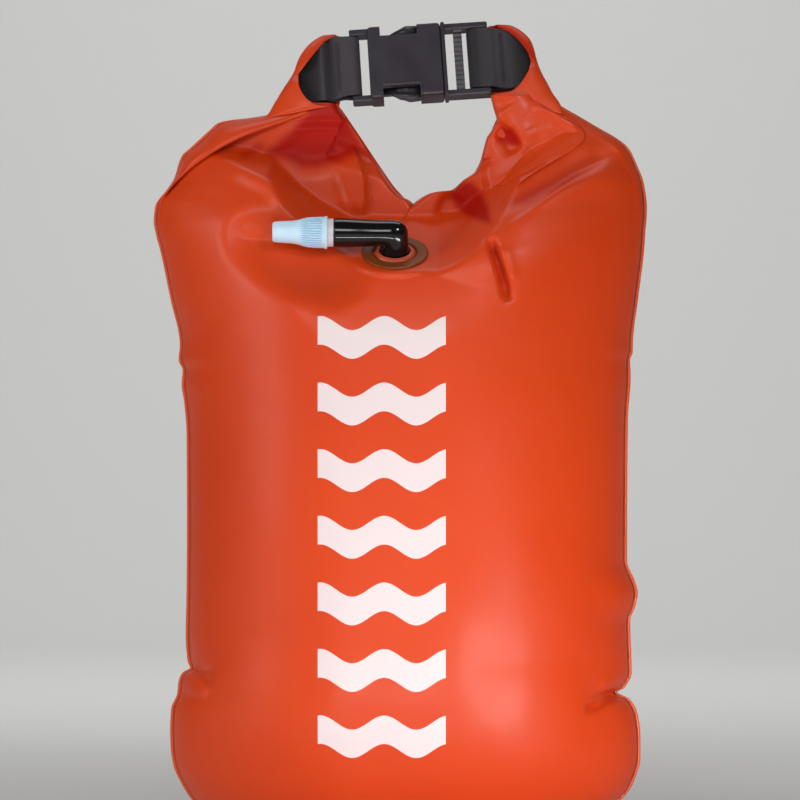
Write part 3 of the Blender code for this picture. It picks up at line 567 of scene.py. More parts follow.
def skinPoint(row, place, share, front):
    # share runs from the side weld, 0, to the seam or the loop, 1. A pinch of the edge stays near it
    edgeX, edgeZ, innerX, innerZ, softX = row
    outer = max(1 - share - flatShare, 0) / (1 - flatShare)
    x = mix(innerX, softX, 1 - share) + (edgeX - softX) * smoothStep((1 - share - 0.76) / 0.24)
    x -= copysign(1, edgeX) * smoothStep((1 - share - 0.9) / 0.1)
    z = mix(innerZ, edgeZ, smoothStep(outer / 0.72))
    power = mix(2, 3, smoothStep((place - 383) / 22))
    lens = (1 - outer ** power) ** 0.75
    if front:
        depth = curveAt(shoulderDepth, place)
    else:
        spread = curveAt([(296, 16), (308, 44), (326, 60), (344, 68), (360, 66), (376, 54), (390, 44)], z)
        depth = mix(curveAt(backDepth, place), curveAt(backShoulderDepth, place),
                    smoothStep((abs(x + 3.2) - spread + 14) / 30))
    y = 0.9 + (depth - 0.9) * lens
    if front:
        y = frontDepthAt(x, z, y)
    if place > 0:
        held = smoothStep((1 - outer) / 0.08)
        low = min(y, 3)
        y += foldsAt(frontFolds if front else backFolds, x, z) * held
        if front and z > 360:
            sunk = sum(pool["sink"] * poolShare(pool, x, z, 9) for pool in shadedHollowPools)
            y -= sunk * smoothStep((438 - z) / 9)
        y = max(y, low)
        ripple = noise.noise(Vector((x / 46, z / 60, 3 if front else 9))) * 1.3
        spot = deck["z"] if front else 122
        away = smoothStep((hypot(x - deck["x"], (z - spot) * 1.4) - 26) / 14)
        y += ripple * lens * smoothStep(place / 60) * away
    y = max(y, 0.9)
    # The cloth turns round the edge of the loop
    gone = (1 - share) * abs(edgeX - innerX) + max(405 - place, 0)
    turn = max(1 - gone / 5, 0)
    y *= sqrt(max(1 - turn * turn, 0))
    return x, z, y


def makeSkin(name, front):
    work = bmesh.new()
    for side, edge, inner in ((-1, leftEdge, loopLeft), (1, rightEdge, loopRight)):
        rows = [rowOf(edge, inner, place) for place in rowPlaces]
        last = len(rowPlaces) - 1
        made = bmesh.ops.create_grid(work, x_segments=columns, y_segments=last, size=1)
        for vertex in made["verts"]:
            u = (vertex.co.x + 1) / 2
            j = round((vertex.co.y + 1) / 2 * last)
            share = u if side < 0 else 1 - u
            x, z, y = skinPoint(rows[j], rowPlaces[j], share, front)
            vertex.co = (x * mm, (-y if front else y) * mm, z * mm)
    bmesh.ops.remove_doubles(work, verts=work.verts, dist=mergeGap)
    if not front:
        bmesh.ops.reverse_faces(work, faces=work.faces)
    return solidify(fromBmesh(name, work), 0.8)


frontSkin = paintShade(makeSkin("frontSkin", True))
dress(frontSkin, printedFabric, "bag", "coated_fabric", "front_panel")
dress(makeSkin("backSkin", False), fabric, "bag", "coated_fabric", "back_panel")
print("skin made")


# Welded edges
weldSize = dict(width=1.2, thickness=0.8)


def makeWeld(name, edge, side, nodeName):
    xs = column(edge, 1)
    zs = column(edge, 2)

    def place(u, v):
        r = mix(2, 462, v)
        (x0, z0), (x, z), (x1, z1) = ((curveAt(xs, r + step), curveAt(zs, r + step)) for step in (-1, 0, 1))
        run = hypot(x1 - x0, z1 - z0) or 1
        out = Vector(((z1 - z0) / run * side, 0, -(x1 - x0) / run * side))
        middle = Vector((x, 0, z)) - out * weldSize["width"] / 2
        depth = Vector((0, sin(tau * u) * weldSize["thickness"], 0))
        return middle + out * cos(tau * u) * weldSize["width"] + depth

    piece = gridPiece(name, 10, 420, place, closed=True, capped=True)
    dress(piece, weldMaterial, "bag", "weld_edge", nodeName)


makeWeld("leftWeld", leftEdge, -1, "left_side_weld")
makeWeld("rightWeld", rightEdge, 1, "right_side_weld")


# Roll: a flattened coil along the loop's edge
rollTop = [
    (-58, 460), (-50, 454), (-39.2, 446.5), (-25.8, 428.2), (-13.6, 409.9), (-1.4, 393), (7.6, 385.4),
    (14.5, 389.4), (21.2, 391.8), (31.3, 392.6), (36.8, 397.3), (46.2, 403.7), (50.4, 414.2),
    (54.1, 425.8), (58.4, 436.1), (64, 446), (70, 456),
]
rollSize = dict(width=30, thickness=9, back=3.6)


def rollFrame(v):
    # A place on the roll's edge by the loop, and the way down across the roll
    last = len(rollTop) - 1
    here = lineAt(rollTop, v * last)
    run = (lineAt(rollTop, min(v + 0.03, 1) * last) - lineAt(rollTop, max(v - 0.03, 0) * last)).normalized()
    return Vector((here.x, 0, here.y)), Vector((run.y, 0, -run.x))


def rollPoint(u, v):
    here, down = rollFrame(v)
    angle = tau * u
    half = rollSize["width"] / 2
    # thinner at its left end, where it lies behind the strap
    depth = rollSize["thickness"] / 2 * mix(0.4, 1, smoothStep(v / 0.07))
    lap = 0.7 * smoothStep((u - 0.30) / 0.02) * smoothStep((0.46 - u) / 0.1)
    y = rollSize["back"] + depth * signedPower(sin(angle), 0.8) + lap
    return here + down * (half - half * signedPower(cos(angle), 0.7)) + Vector((0, y, 0))


def stripPoint(u, v):
    # The stiffener, a thin band in the middle of the roll
    here, down = rollFrame(mix(0.12, 0.86, v))
    angle = tau * u
    return here + down * (15 - 8.5 * cos(angle)) + Vector((0, rollSize["back"] + 0.6 * sin(angle), 0))


stripMaterial = material("stiffenerSheet", (0.05, 0.05, 0.055), 0.5)
bumpFrom(stripMaterial, noiseOf(stripMaterial, 700, 2), 0.2, 0.1)
roll = gridPiece("rollTop", 28, 120, rollPoint, closed=True, capped=True)
roll.data.materials.append(fabric)
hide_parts("rolled_closure")
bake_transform(roll)
strip = gridPiece("stiffener", 12, 80, stripPoint, closed=True, capped=True)
strip.data.materials.append(stripMaterial)
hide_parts("stiffener_strip")
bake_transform(strip)


# Right shoulder flap, which the buckle's free end pulls on
flapLeft = [(54.2, 366.5), (53, 376), (51, 386.4), (47.4, 394.5), (45.4, 402.8), (48.6, 410.5),
            (50.4, 417), (52.6, 424.8), (58.6, 434.6), (56.9, 441.8), (54.8, 450.4)]
flapRight = [(55.2, 366), (57.6, 377), (64.5, 388.5), (76, 399), (93.8, 410.3), (107, 418.4),
             (113.2, 425.6), (110.3, 431.6), (98.1, 439.2), (87.4, 444.7), (80.4, 450.6)]
flapFolds = [
    crease([(58.6, 381), (66, 391.5), (76, 400), (93.8, 410.3), (105, 417.4), (109.6, 424.6)], 2.4, 3, 3),
    crease([(77.9, 447), (92.1, 440.5), (104, 433.5), (111, 426.4)], 2.6, 2.6, 4),
    crease([(56, 444), (58.2, 438.8), (62.1, 434.4), (67.9, 430), (71.3, 425.7), (73.3, 420.3),
            (77.7, 415.4)], 3.6, 10, 1.8),
    crease([(57, 429), (62.5, 427), (67.5, 421), (71, 415)], -5.5, 5, 5),
    crease([(56, 396), (70, 404), (86, 410)], 0.8, 2, 4),
    crease([(84, 414), (88, 424), (92, 434)], 0.5, 4, 4),
]


skinTree = BVHTree.FromPolygons([vertex.co for vertex in frontSkin.data.vertices],
                                [face.vertices[:] for face in frontSkin.data.polygons])


def skinDepth(x, z):
    # How far the front skin stands forward at a point, in millimetres
    hit = skinTree.ray_cast(Vector((x * mm, -0.2, z * mm)), Vector((0, 1, 0)))[0]
    return -hit.y / mm if hit else 2


def flapPoint(u, v):
    place = v * (len(flapLeft) - 1)
    start = lineAt(flapLeft, place)
    end = lineAt(flapRight, place)
    at = start.lerp(end, u)
    rise = smoothStep(v / 0.35)
    belly = sin(pi * min(max(u, 0), 1)) ** 0.55
    low = curveAt([(366, 36), (376, 22), (388, 14), (400, 9), (420, 8), (452, 8)], at.y)
    low = mix(8.5, low, smoothStep((at.x - 52) / 30)) if at.y > 390 else low
    y = low + belly * mix(1.5, 6.5, rise) + foldsAt(flapFolds, at.x, at.y)
    skin = skinDepth(at.x, at.y)
    y = mix(y, max(y, skin + 2), smoothStep((at.x - 60) / 12))
    if at.y < 412:
        # its lower left edge sinks into the skin
        sunk = skin - 1.2
        width = max((end - start).length, 1)
        y = mix(sunk, max(y, sunk + 1.6), smoothStep(u * width / 9) * smoothStep((v - 0.02) / 0.12))
    if u > 0.985:
        y -= (u - 0.985) * 160
    if u < 0.015:
        y -= (0.015 - u) * 160
    return at.x, -y, at.y


flap = solidify(paintShade(gridPiece("rightFlap", 60, 90, flapPoint), True), 0.9)
flap.data.materials.append(fabric)
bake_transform(flap)
print("roll and flap made")


# Left shoulder flap: a fold of the same cloth over the shoulder, with a rounded edge
leftFlapTop = [(-57.2, 440.9), (-66, 440.3), (-80.7, 438.6), (-96, 436.2), (-109.4, 433), (-120.8, 422.4),
               (-131.6, 412.8), (-137.6, 400), (-143, 392), (-147.6, 385.8), (-148.9, 377)]
leftFlapEdge = [(-56.8, 440.4), (-65, 437.2), (-76, 433.2), (-89, 428.6), (-101, 423.4), (-112, 417.2),
                (-122, 410.6), (-131, 403.2), (-138.6, 395.6), (-143.9, 388.6), (-148.3, 376.6)]
leftFlapRise = list(enumerate([7.5, 10, 14, 17, 18, 18, 16, 12.5, 9, 5, 1.5]))


def leftFlapPoint(u, v):
    place = v * (len(leftFlapTop) - 1)
    top = lineAt(leftFlapTop, place)
    edge = lineAt(leftFlapEdge, place)
    rise = curveAt(leftFlapRise, place)
    across = edge - top
    width = max(across.length, 0.01)
    down = across / width
    if u < 0.7:
        t = u / 0.7
        at = top + across * t
        low = mix(8.5, 1.2, smoothStep(place / 2.5))
        y = low + (rise - low) * sin(t * pi / 2) ** 0.8
    else:
        # round the fold and back under it
        t = (u - 0.7) / 0.3
        angle = pi * min(t / 0.45, 1)
        radius = min(1.3, rise * 0.3)
        under = max(t - 0.45, 0) / 0.55
        at = edge + down * radius * sin(angle) * 0.6 - down * under * min(7, width * 0.5)
        y = rise - radius * (1 - cos(angle)) * 0.9 - under * (rise - 2 * radius) * 0.8
    return at.x, -max(y, 0.9), at.y


leftFlap = solidify(gridPiece("leftFlap", 44, 110, leftFlapPoint, flip=True), 0.8, 0)
dress(leftFlap, fabric, "bag", "coated_fabric")


# Ears: the two ends of the roll, pockets that the straps go into
leftEar = dict(
    rimShade=0.25,
    rim=[(-44.5, 444), (-48.6, 444.4), (-52.5, 445.6), (-56.9, 448.6), (-60.2, 453.2), (-62, 458.2),
         (-62.2, 463.3), (-58.4, 469.2), (-54, 475.2), (-49.6, 480.8), (-45, 485.8), (-39.6, 488.2)],
    outer=[(-84, 436), (-80.2, 438.8), (-76.6, 445.2), (-73.4, 450.8), (-70.5, 455.8), (-67.4, 460.6),
           (-64.6, 465.6), (-62, 473.2), (-58.2, 479.8), (-52.6, 485.4), (-46.5, 488.6), (-40, 489.2)],
    back=[(-40, 436), (-38, 440), (-37, 446), (-36, 452), (-36, 456), (-36, 460), (-36, 464), (-36, 470),
          (-36, 476), (-36, 482), (-37, 487), (-38.6, 488.8)])
rightEar = dict(
    rimShade=0.75,
    rim=[(54.8, 450.2), (62.1, 452.2), (67.9, 453.4), (72.2, 456.7), (75.6, 461.4), (78.4, 466.6),
         (79.6, 471.4), (78.6, 476), (75.6, 481.2), (71, 486.8), (64.8, 491.8), (59.4, 493.8)],
    outer=[(98.5, 439), (97.1, 444.4), (92.4, 451.8), (89.4, 457.8), (86.6, 463.2), (84.6, 467.8),
           (82.8, 473.6), (81.4, 479.8), (79.6, 484.8), (74.8, 490.4), (66.5, 494.8), (59.4, 495.2)],
    back=[(68, 440), (64, 445), (58, 450), (52, 455), (49, 460), (48, 467), (48, 474), (48, 479),
          (49, 484), (50, 489), (52, 492.6), (54.6, 494.6)])

# The two slopes go with the angles lean and tilt
buckle = dict(x=12.2, y=6, z=470.8, lean=24.5, tilt=3.7, leanSlope=0.455, tiltSlope=0.0647)


def strapDepth(x, z):
    # Middle of the straps, which lean back with the buckle
    up = z - buckle["z"] - (x - buckle["x"]) * buckle["tiltSlope"]
    return buckle["y"] + up * buckle["leanSlope"]


def earPoint(ear):
    def place(u, v):
        at = v * (len(ear["rim"]) - 1)
        rim = lineAt(ear["rim"], at)
        outer = lineAt(ear["outer"], at)
        back = lineAt(ear["back"], at)
        gap = 7.5 * sin(pi * (0.12 + 0.82 * v)) ** 0.7
        turnShare = 0.42
        if u < turnShare:
            angle = pi / 2 * (1 - u / turnShare)
            point = outer + (rim - outer) * (1 - cos(angle))
            wide = min((rim - outer).length / 6, 1)
            depth = -gap * sin(angle) ** 0.8 * wide
        else:
            t = (u - turnShare) / (1 - turnShare)
            point = outer + (back - outer) * (1 - cos(pi / 2 * t))
            depth = gap * 0.9 * sin(pi / 2 * min(t * 1.7, 1))
        return point.x, strapDepth(point.x, point.y) + depth, point.y
    return place


def makeEar(name, ear, body, nodeName, flip):
    # painted shade on the inside of the ear by its rim, toward the top where the strap goes in
    def shade(p):
        away = abs(lineDistance(ear["rim"], p.x, p.z)[0])
        return ear["rimShade"] * smoothStep(1 - away / 6) * smoothStep((p.z - 466) / 12)

    piece = paint(gridPiece(name, 54, 90, earPoint(ear), flip=flip), "paintedShade", shade)
    dress(solidify(piece, 1.1, 0), fabric, body, "coated_fabric", nodeName)


makeEar("leftEar", leftEar, "bag", "left_roll_end", True)
makeEar("rightEar", rightEar, "free_end", "right_roll_end", False)
print("flap and ears made")


# Webbing: straps round the buckle's bars, in the buckle's own frame
buckleFrame = Matrix.Translation((buckle["x"], buckle["y"], buckle["z"])) @ Euler(
    (radians(-buckle["lean"]), radians(-buckle["tilt"]), 0)).to_matrix().to_4x4()
toBuckle = buckleFrame.inverted()
webbingThickness = 1.5


def ribbonPiece(name, path, widths, matrix, wrinkle):
    # Webbing along path, (x, y) points, with widths (x, low, high) across it
    last = len(path) - 1

    def place(u, v):
        i = v * last
        here = lineAt(path, i)
        run = (lineAt(path, min(i + 0.1, last)) - lineAt(path, max(i - 0.1, 0))).normalized()
        across = -cos(tau * u)
        skin = copysign(sqrt(max(1 - abs(across) ** 24, 0)), 0.5 - u) * webbingThickness / 2
        z = mix(curveAt(column(widths, 1), here.x), curveAt(column(widths, 2), here.x), (across + 1) / 2)
        y = here.y - run.x * skin + wrinkle(here.x, z, here.y)
        return matrix @ Vector((here.x + run.y * skin, y, z))

    return gridPiece(name, 48, 150, place, closed=True, capped=True)


leftStrap = dict(
    path=[(-74, -0.6), (-68, -0.9), (-64, -1.5), (-61.5, -2.4), (-59.2, -2), (-56.5, -1.1), (-52, -2.2),
          (-48, -3.2), (-44.5, -3.5), (-41.2, -3.4), (-38.3, -2.6), (-37.1, 0), (-38.3, 2.6), (-41, 3.4),
          (-44, 3), (-48, 1.6), (-54, 1), (-60, 0.9), (-66, 0.9)],
    widths=[(-75, -21.5, -3), (-70, -22.3, 6), (-66, -22.3, 11), (-60, -22.3, 17.5), (-56, -22.2, 20.6),
            (-52, -21.8, 21.6), (-45, -20.6, 20.6), (-30, -20.2, 20.2)],
    shade=[(-70, 1), (-66, 0.85), (-62, 0.5), (-60.2, 0.05), (-59.2, 0.1), (-57.4, 0.65), (-53.5, 0.55),
           (-50.5, 0.05), (-42, 0), (-38, 0.35)])
rightStrap = dict(
    path=[(68, -0.6), (62, -0.9), (56, -1.3), (52, -1), (46, -1.9), (43.5, -3), (40, -3.5), (34, -3.5),
          (31.2, -2.8), (29.9, 0), (31.2, 2.8), (34, 3.5), (40, 3.5), (44, 2.6), (50, 1), (56, 0.9),
          (62, 0.9)],
    widths=[(20, -20.2, 20.2), (45, -20.6, 20.6), (50, -21.4, 20.4), (57, -21.6, 17), (62, -21.6, 12),
            (69, -21, -1)],
    shade=[(29, 0.6), (31, 0.85), (35, 0.75), (37.5, 0.35), (50, 0.2), (56, 0.45), (62, 0.85), (67, 1)])


def leftWrinkle(x, z, y):
    if y > 0:
        return 0
    crest = exp(-((x + 60 + 0.03 * z) / 1.3) ** 2) * -1.1
    dip = exp(-((x + 55.6 + 0.03 * z) / 2.4) ** 2) * 1.1
    return crest + dip + noise.noise(Vector((x / 7, z / 22, 1))) * 0.35


def rightWrinkle(x, z, y):
    if y > 0:
        return 0
    return exp(-((x - 52.5 + 0.1 * z) / 1.2) ** 2) * 0.35 + noise.noise(Vector((x / 9, z / 24, 5))) * 0.3


def webbingFabric(name, color, pitch):
    # Twill: fine ribs that run slantwise across the band
    made = material(name, color, 0.62, Sheen_Weight=0.12, Sheen_Roughness=0.35, Specular_IOR_Level=0.35)
    x, y, z = axes(made)
    ribs = wave(made, calc(made, "ADD", x, product(made, z, 0.62)), pitch)
    cross = wave(made, z, pitch * 0.7)
    height = calc(made, "ADD", product(made, ribs, 0.7), product(made, cross, 0.3))
    dark, light, paintedShadeColor = ([c * share for c in color] for share in (0.55, 1.35, 0.12))
    shade = mixColor(made, ramp(made, height, 0, 1, -0.9, 0.9), dark, light)
    # painted shade: the webbing turns almost black where the strap is shaded
    link(made, mixColor(made, painted(made, "paintedShade"), shade, paintedShadeColor), inputsOf(made)["Base Color"])
    bumpFrom(made, height, 0.5, 0.3)
    return made


webbingMaterial = webbingFabric("webbing", (0.054, 0.045, 0.054), 0.95)
threadMaterial = webbingFabric("tackThread", (0.040, 0.036, 0.040), 0.5)
for name, strap, wrinkle, body, nodeName in (
        ("leftStrap", leftStrap, leftWrinkle, "bag", "left_strap"),
        ("rightStrap", rightStrap, rightWrinkle, "free_end", "right_strap")):
    piece = ribbonPiece(name, strap["path"], strap["widths"], buckleFrame, wrinkle)
    # painted shade along each strap, darker where it turns round the bar and goes into the ear, from its
    # shade keys
    paint(piece, "paintedShade", lambda p: curveAt(strap["shade"], (toBuckle @ p).x))
    dress(piece, webbingMaterial, body, "webbing", nodeName)


# Buckle
buckleLook = dict(color=(0.033, 0.027, 0.036), roughness=0.38)
buckleMaterial = material("bucklePlastic", buckleLook["color"], buckleLook["roughness"])
bumpFrom(buckleMaterial, noiseOf(buckleMaterial, 1600, 2), 0.12, 0.15)
link(buckleMaterial, ramp(buckleMaterial, noiseOf(buckleMaterial, 60, 3), 0.34, 0.48),
     inputsOf(buckleMaterial)["Roughness"])
for name in ("buckle_housing", "buckle_frame"):
    piece = recoat(name, buckleMaterial)
    piece.modifiers.new("Weld", "WELD").merge_threshold = mergeGap
    soften = piece.modifiers.new("Bevel", "BEVEL")
    soften.width = 0.35 * mm
    soften.segments = 2
    soften.limit_method = "ANGLE"
    soften.angle_limit = radians(35)
    piece.modifiers.new("WeightedNormal", "WEIGHTED_NORMAL")


def slab(name, outlines, matrix, bevel):
    # Outlines of (x, z) points drawn out from y0 to y1, in one mesh with softened edges
    work = bmesh.new()
    for outline, y0, y1 in outlines:
        made = [work.verts.new(matrix @ Vector((x, y0, z)) * mm) for x, z in outline]
        face = work.faces.new(made)
        step = matrix.to_3x3() @ Vector((0, y1 - y0, 0)) * mm
        grown = bmesh.ops.extrude_face_region(work, geom=[face], use_keep_orig=True)["geom"]
        moved = [part for part in grown if isinstance(part, bmesh.types.BMVert)]
        bmesh.ops.translate(work, vec=step, verts=moved)
    bmesh.ops.recalc_face_normals(work, faces=work.faces)
    bmesh.ops.bevel(work, geom=work.edges[:], offset=bevel * mm, segments=3, affect="EDGES",
                    clamp_overlap=True)
    return fromBmesh(name, work)


def threadPiece(name, points, radius, normal, around=8, closed=False):
    # A round thread through points, in millimetres
    last = len(points) - 1
    runs = [(b - a).normalized() for a, b in zip(points, points[1:])]
    ends = [runs[-1] if closed else runs[0]] + runs
    turns = [(a + b).normalized() for a, b in zip(ends, runs + [runs[0] if closed else runs[-1]])]

    def place(u, v):
        k = min(int(v * last), last - 1)
        share = v * last - k
        side = turns[k].lerp(turns[k + 1], share).cross(normal).normalized()
        angle = tau * u
        return points[k].lerp(points[k + 1], share) + (side * cos(angle) + normal * sin(angle)) * radius

    return gridPiece(name, around, 2 * last, place, closed=True, capped=not closed)


def makeTack(name, stitches, place, radius, normal, body, nodeName):
    # Bar tack: a thread that steps from side to side, at place(share, side)
    half = 1.3
    points = [place(step / stitches, half if step % 2 else -half) for step in range(stitches + 1)]
    dress(threadPiece(name, points, radius, normal, around=6), threadMaterial, body, "thread", nodeName)


# Latch arms: outlines in the buckle's frame with their depths, upside down for the lower arm
armShape = dict(
    bar=([(15.5, 11.2), (15.5, 14.6), (2, 15.6), (-0.85, 17.2), (-0.85, 24), (-7.6, 24.6), (-18, 19.8),
          (-20.5, 17.2), (-19.5, 14.6), (-8, 12.6)], -1.4, 3.4),
    upperPad=([(-0.85, 18.6), (-0.85, 25.2), (-7.8, 25.4), (-18.6, 19.4), (-17, 18.6)], -3.3, -1.2),
    ridge=([(-17, 19.2), (-8.3, 24.4), (-1.2, 20.2), (-1.2, 19.2), (-8.3, 23.2), (-15.4, 19.2)], -3.9, -3.1),
    lowerPad=([(-0.85, 22.2), (-0.85, 25.2), (-8, 25.8), (-13.5, 25), (-20.3, 20.2), (-19, 19.8)],
              -3.9, -1.2))
for name, body, nodeName, sign, keys in (
        ("upperArm", "upper_arm", "latch_arm_upper", 1, ("bar", "upperPad", "ridge")),
        ("lowerArm", "lower_arm", "latch_arm_lower", -1, ("bar", "lowerPad"))):
    parts = [([(x, z * sign) for x, z in outline], y0, y1) for outline, y0, y1 in map(armShape.get, keys)]
    dress(slab(name, parts, buckleFrame, 0.35), buckleMaterial, body, "buckle_plastic", nodeName)

# A shoulder of the frame that fills the mouth of the housing, and the raised lip of the lower window
shoulder = slab("frameShoulder", [([(9.5, -19.5), (9.5, 19.5), (14.6, 19.5), (14.6, -19.5)], -3.7, 3.7),
                                  ([(13.63, -24.6), (13.63, 24.6), (14.6, 24.6), (14.6, -24.6)], -5, 5)],
                buckleFrame, 0.1)
dress(shoulder, buckleMaterial, "free_end", "buckle_plastic")
buckleNormal = buckleFrame.to_3x3() @ Vector((0, 1, 0))
lipLine = [(-24.4, -24), (-24.2, -19.5), (-23.9, -17.6), (-23.3, -16.9), (-22.3, -16.6), (-12, -16.6),
           (-2.2, -16.6), (-1, -17), (-0.4, -17.8), (-0.1, -20), (0.1, -24)]
lip = threadPiece("windowLip", [buckleFrame @ Vector((x, -6.9, z)) for x, z in lipLine], 0.6, buckleNormal)
dress(lip, buckleMaterial, "bag", "buckle_plastic")


def overStrap(strap, wrinkle, middle):
    # Places on the strap's front face, which is the path up to its foremost point
    path = strap["path"]
    keys = sorted(path[:path.index(min(path, key=lambda p: p[1])) + 1])

    def place(share, side):
        x = middle + side
        z = mix(-17, 17, share)
        face = curveAt(keys, x) - webbingThickness / 2 + wrinkle(x, z, -1)
        return buckleFrame @ Vector((x, face - 0.1, z))
    return place


makeTack("leftTack", 56, overStrap(leftStrap, leftWrinkle, -50), 0.22, buckleNormal, "bag", "left_bar_tack")
makeTack("rightTack", 56, overStrap(rightStrap, rightWrinkle, 49.9), 0.22, buckleNormal, "free_end",
         "right_bar_tack")
print("buckle made")


# Valve, in the frame of its port and along its tube
portFrame = Matrix.Translation((deck["x"], -deck["y"], deck["z"])) @ Matrix.Rotation(radians(31), 4, "X")
tubeTilt = radians(0.8)
legHeight = 13.77
tubeFrame = portFrame @ Matrix.Translation((0, 0, legHeight)) @ Matrix.Rotation(tubeTilt - pi / 2, 4, "Y")
toTube = tubeFrame.inverted()
turnedStep = 0.8


def turnedPiece(name, profile, matrix, around, ribs=None):
    # profile is a list of (radius, place) points, straight between them
    spots = []
    total = 0
    for (r0, s0), (r1, s1) in zip(profile, profile[1:]):
        before = total
        total += hypot(r1 - r0, s1 - s0)
        count = max(int((total - before) / turnedStep), 1)
        spots += [(mix(r0, r1, k / count), mix(s0, s1, k / count)) for k in range(count)]
    spots.append(profile[-1])

    def place(u, v):
        radius, reach = spots[round(v * (len(spots) - 1))]
        if ribs:
            radius += ribs(u, radius, reach)
        return matrix @ Vector((radius * cos(tau * u), radius * sin(tau * u), reach))

    return gridPiece(name, around, len(spots) - 1, place, closed=True)


def turnedRing(name, profile, corner, matrix, around, look, slot, nodeName):
    # A closed profile with all its corners but the first and the last rounded
    made = [profile[0]]
    for before, here, after in zip(profile, profile[1:], profile[2:]):
        here = Vector(here)
        a = Vector(before) - here
        b = Vector(after) - here
        cut = min(corner, a.length * 0.45, b.length * 0.45)
        start = here + a.normalized() * cut
        end = here + b.normalized() * cut
        made += [tuple(start * (1 - t) ** 2 + here * 2 * t * (1 - t) + end * t * t)
                 for t in (0, 0.25, 0.5, 0.75, 1)]
    piece = turnedPiece(name, made + [profile[-1], profile[0]], matrix, around)
    dress(piece, look, "bag", slot, nodeName)


def plastic(name, color, roughness, grainScale=1200, depth=0.1, **inputs):
    made = material(name, color, roughness, **inputs)
    bumpFrom(made, noiseOf(made, grainScale, 2), 0.08, depth)
    cloud = ramp(made, noiseOf(made, 90, 3), 0, 1)
    shade = mixColor(made, cloud, [c * 0.93 for c in color], [min(c * 1.05, 1) for c in color])
    link(made, shade, inputsOf(made)["Base Color"])
    return made


capMaterial = plastic("capPlastic", (0.56, 0.76, 0.90), 0.38)
capColor = inputsOf(capMaterial)["Base Color"]
# painted shade: the cap's blue is darker in the grooves between its ribs
link(capMaterial, mixColor(capMaterial, painted(capMaterial, "grooveShade"), capColor.links[0].from_socket,
                           (0.20, 0.42, 0.64)), capColor)
collarMaterial = plastic("collarPlastic", (0.66, 0.62, 0.66), 0.4)
tubeMaterial = plastic("tubePlastic", (0.0045, 0.0035, 0.004), 0.10, grainScale=300, depth=0.03)
flangeMaterial = plastic("flangeFilm", (0.20, 0.050, 0.007), 0.34, Specular_IOR_Level=0.3)
grommetMaterial = plastic("grommetFilm", (0.55, 0.085, 0.035), 0.3)
rubberMaterial = plastic("sealRubber", (0.015, 0.015, 0.016), 0.6)
ringMaterial = plastic("ringPlastic", (0.025, 0.024, 0.027), 0.42)

capShape = dict(start=40.3, ribs=36, ribDepth=0.45, ribStart=43, ribEnd=58, bore=4.2)


def capRibs(u, radius, reach):
    if not capShape["ribStart"] < reach < capShape["ribEnd"] or radius < 6.5:
        return 0
    fade = smoothStep((reach - capShape["ribStart"]) / 1.2) * smoothStep((capShape["ribEnd"] - reach) / 4)
    return -capShape["ribDepth"] * fade * (1 - abs(cos(pi * capShape["ribs"] * u))) ** 0.7


start = capShape["start"]
capProfile = [(8.5, start + 2.2), (8.6, start), (9.5, start), (9.86, start + 0.5), (9.86, start + 1.3),
              (9.5, start + 1.9), (9.4, start + 2.6), (9.3, 45), (9.15, 49), (8.95, 51.5), (8.65, 53.3),
              (8.2, 55.1), (7.65, 57), (7.2, 58.8), (6.95, 60.4), (6.8, 62), (6.6, 66), (6.4, 70),
              (6.2, 71.6), (5.8, 72.7), (5.3, 73.3), (4.7, 73.2), (capShape["bore"], 72.7),
              (capShape["bore"], 64)]
cap = turnedPiece("cap", capProfile, tubeFrame, 288, capRibs)


# painted shade in the grooves, from how deep each point lies between the ribs
def grooveShadeAt(p):
    x, y, reach = toTube @ p
    return -capRibs(atan2(y, x) / tau, hypot(x, y), reach) / capShape["ribDepth"]


dress(paint(cap, "grooveShade", grooveShadeAt), capMaterial, "cap", "valve_blue", "valve_cap")
turnedRing("stem", [(3.6, 29), (6.3, 29), (6.3, 36.7), (8.4, 36.7), (8.4, 40.8), (7.2, 40.8), (7.2, 54.8),
                    (3.6, 54.8)], 0.5, tubeFrame, 72, collarMaterial, "valve_white", "valve_stem")
elbowShape = dict(tube=8.75, neck=7.9, leg=8.8, bend=9.6, rise=4.3, length=36.5, power=4.5)


def elbowPoint(u, v):
    # Up the leg, round a squarish bend, along the tube, and back in at its open end
    turn = pi / 2 - tubeTilt
    side = Vector((0, sin(tau * u), 0))
    out = cos(tau * u)
    bend = elbowShape["bend"]
    rise = elbowShape["rise"]
    power = elbowShape["power"]
    if v < 0.2:
        radius = mix(elbowShape["leg"], elbowShape["neck"] + 0.3, (v / 0.2) ** 2)
        return portFrame @ (Vector((radius * out, 0, mix(-7, rise, v / 0.2))) + side * radius)
    centre = Vector((-bend, 0, rise))
    if v < 0.6:
        t = (v - 0.2) / 0.4
        phi = turn * t
        radius = mix(elbowShape["neck"] + 0.3, elbowShape["neck"], t)
        corner = (cos(phi) ** power + sin(phi) ** power) ** (-1 / power)
        push = (bend + radius) * (corner - 1) * smoothStep((cos(phi) ** 2 + 0.02) * 40)
        reach = bend + radius * out + push * ((1 + out) / 2) ** 1.2
        return portFrame @ (centre + Vector((cos(phi), 0, sin(phi))) * reach + side * radius)
    run = Vector((-cos(tubeTilt), 0, sin(tubeTilt)))
    up = Vector((sin(tubeTilt), 0, cos(tubeTilt)))
    radius = elbowShape["tube"]
    first = centre + bend * Vector((cos(turn), 0, sin(turn)))
    last = Vector((0, 0, legHeight)) + run * elbowShape["length"]
    if v < 0.92:
        at = first.lerp(last, (v - 0.6) / 0.32)
        shrink = min(max((v - 0.91) / 0.01, 0), 1)
        radius = mix(elbowShape["neck"], radius, smoothStep((v - 0.6) / 0.28)) - 0.35 * shrink
    else:
        t = (v - 0.92) / 0.08
        radius = mix(radius - 0.4, 6.55, min(t * 2, 1))
        at = last - run * max(t * 2 - 1, 0) * 3
    return portFrame @ (at + up * radius * out + side * radius)


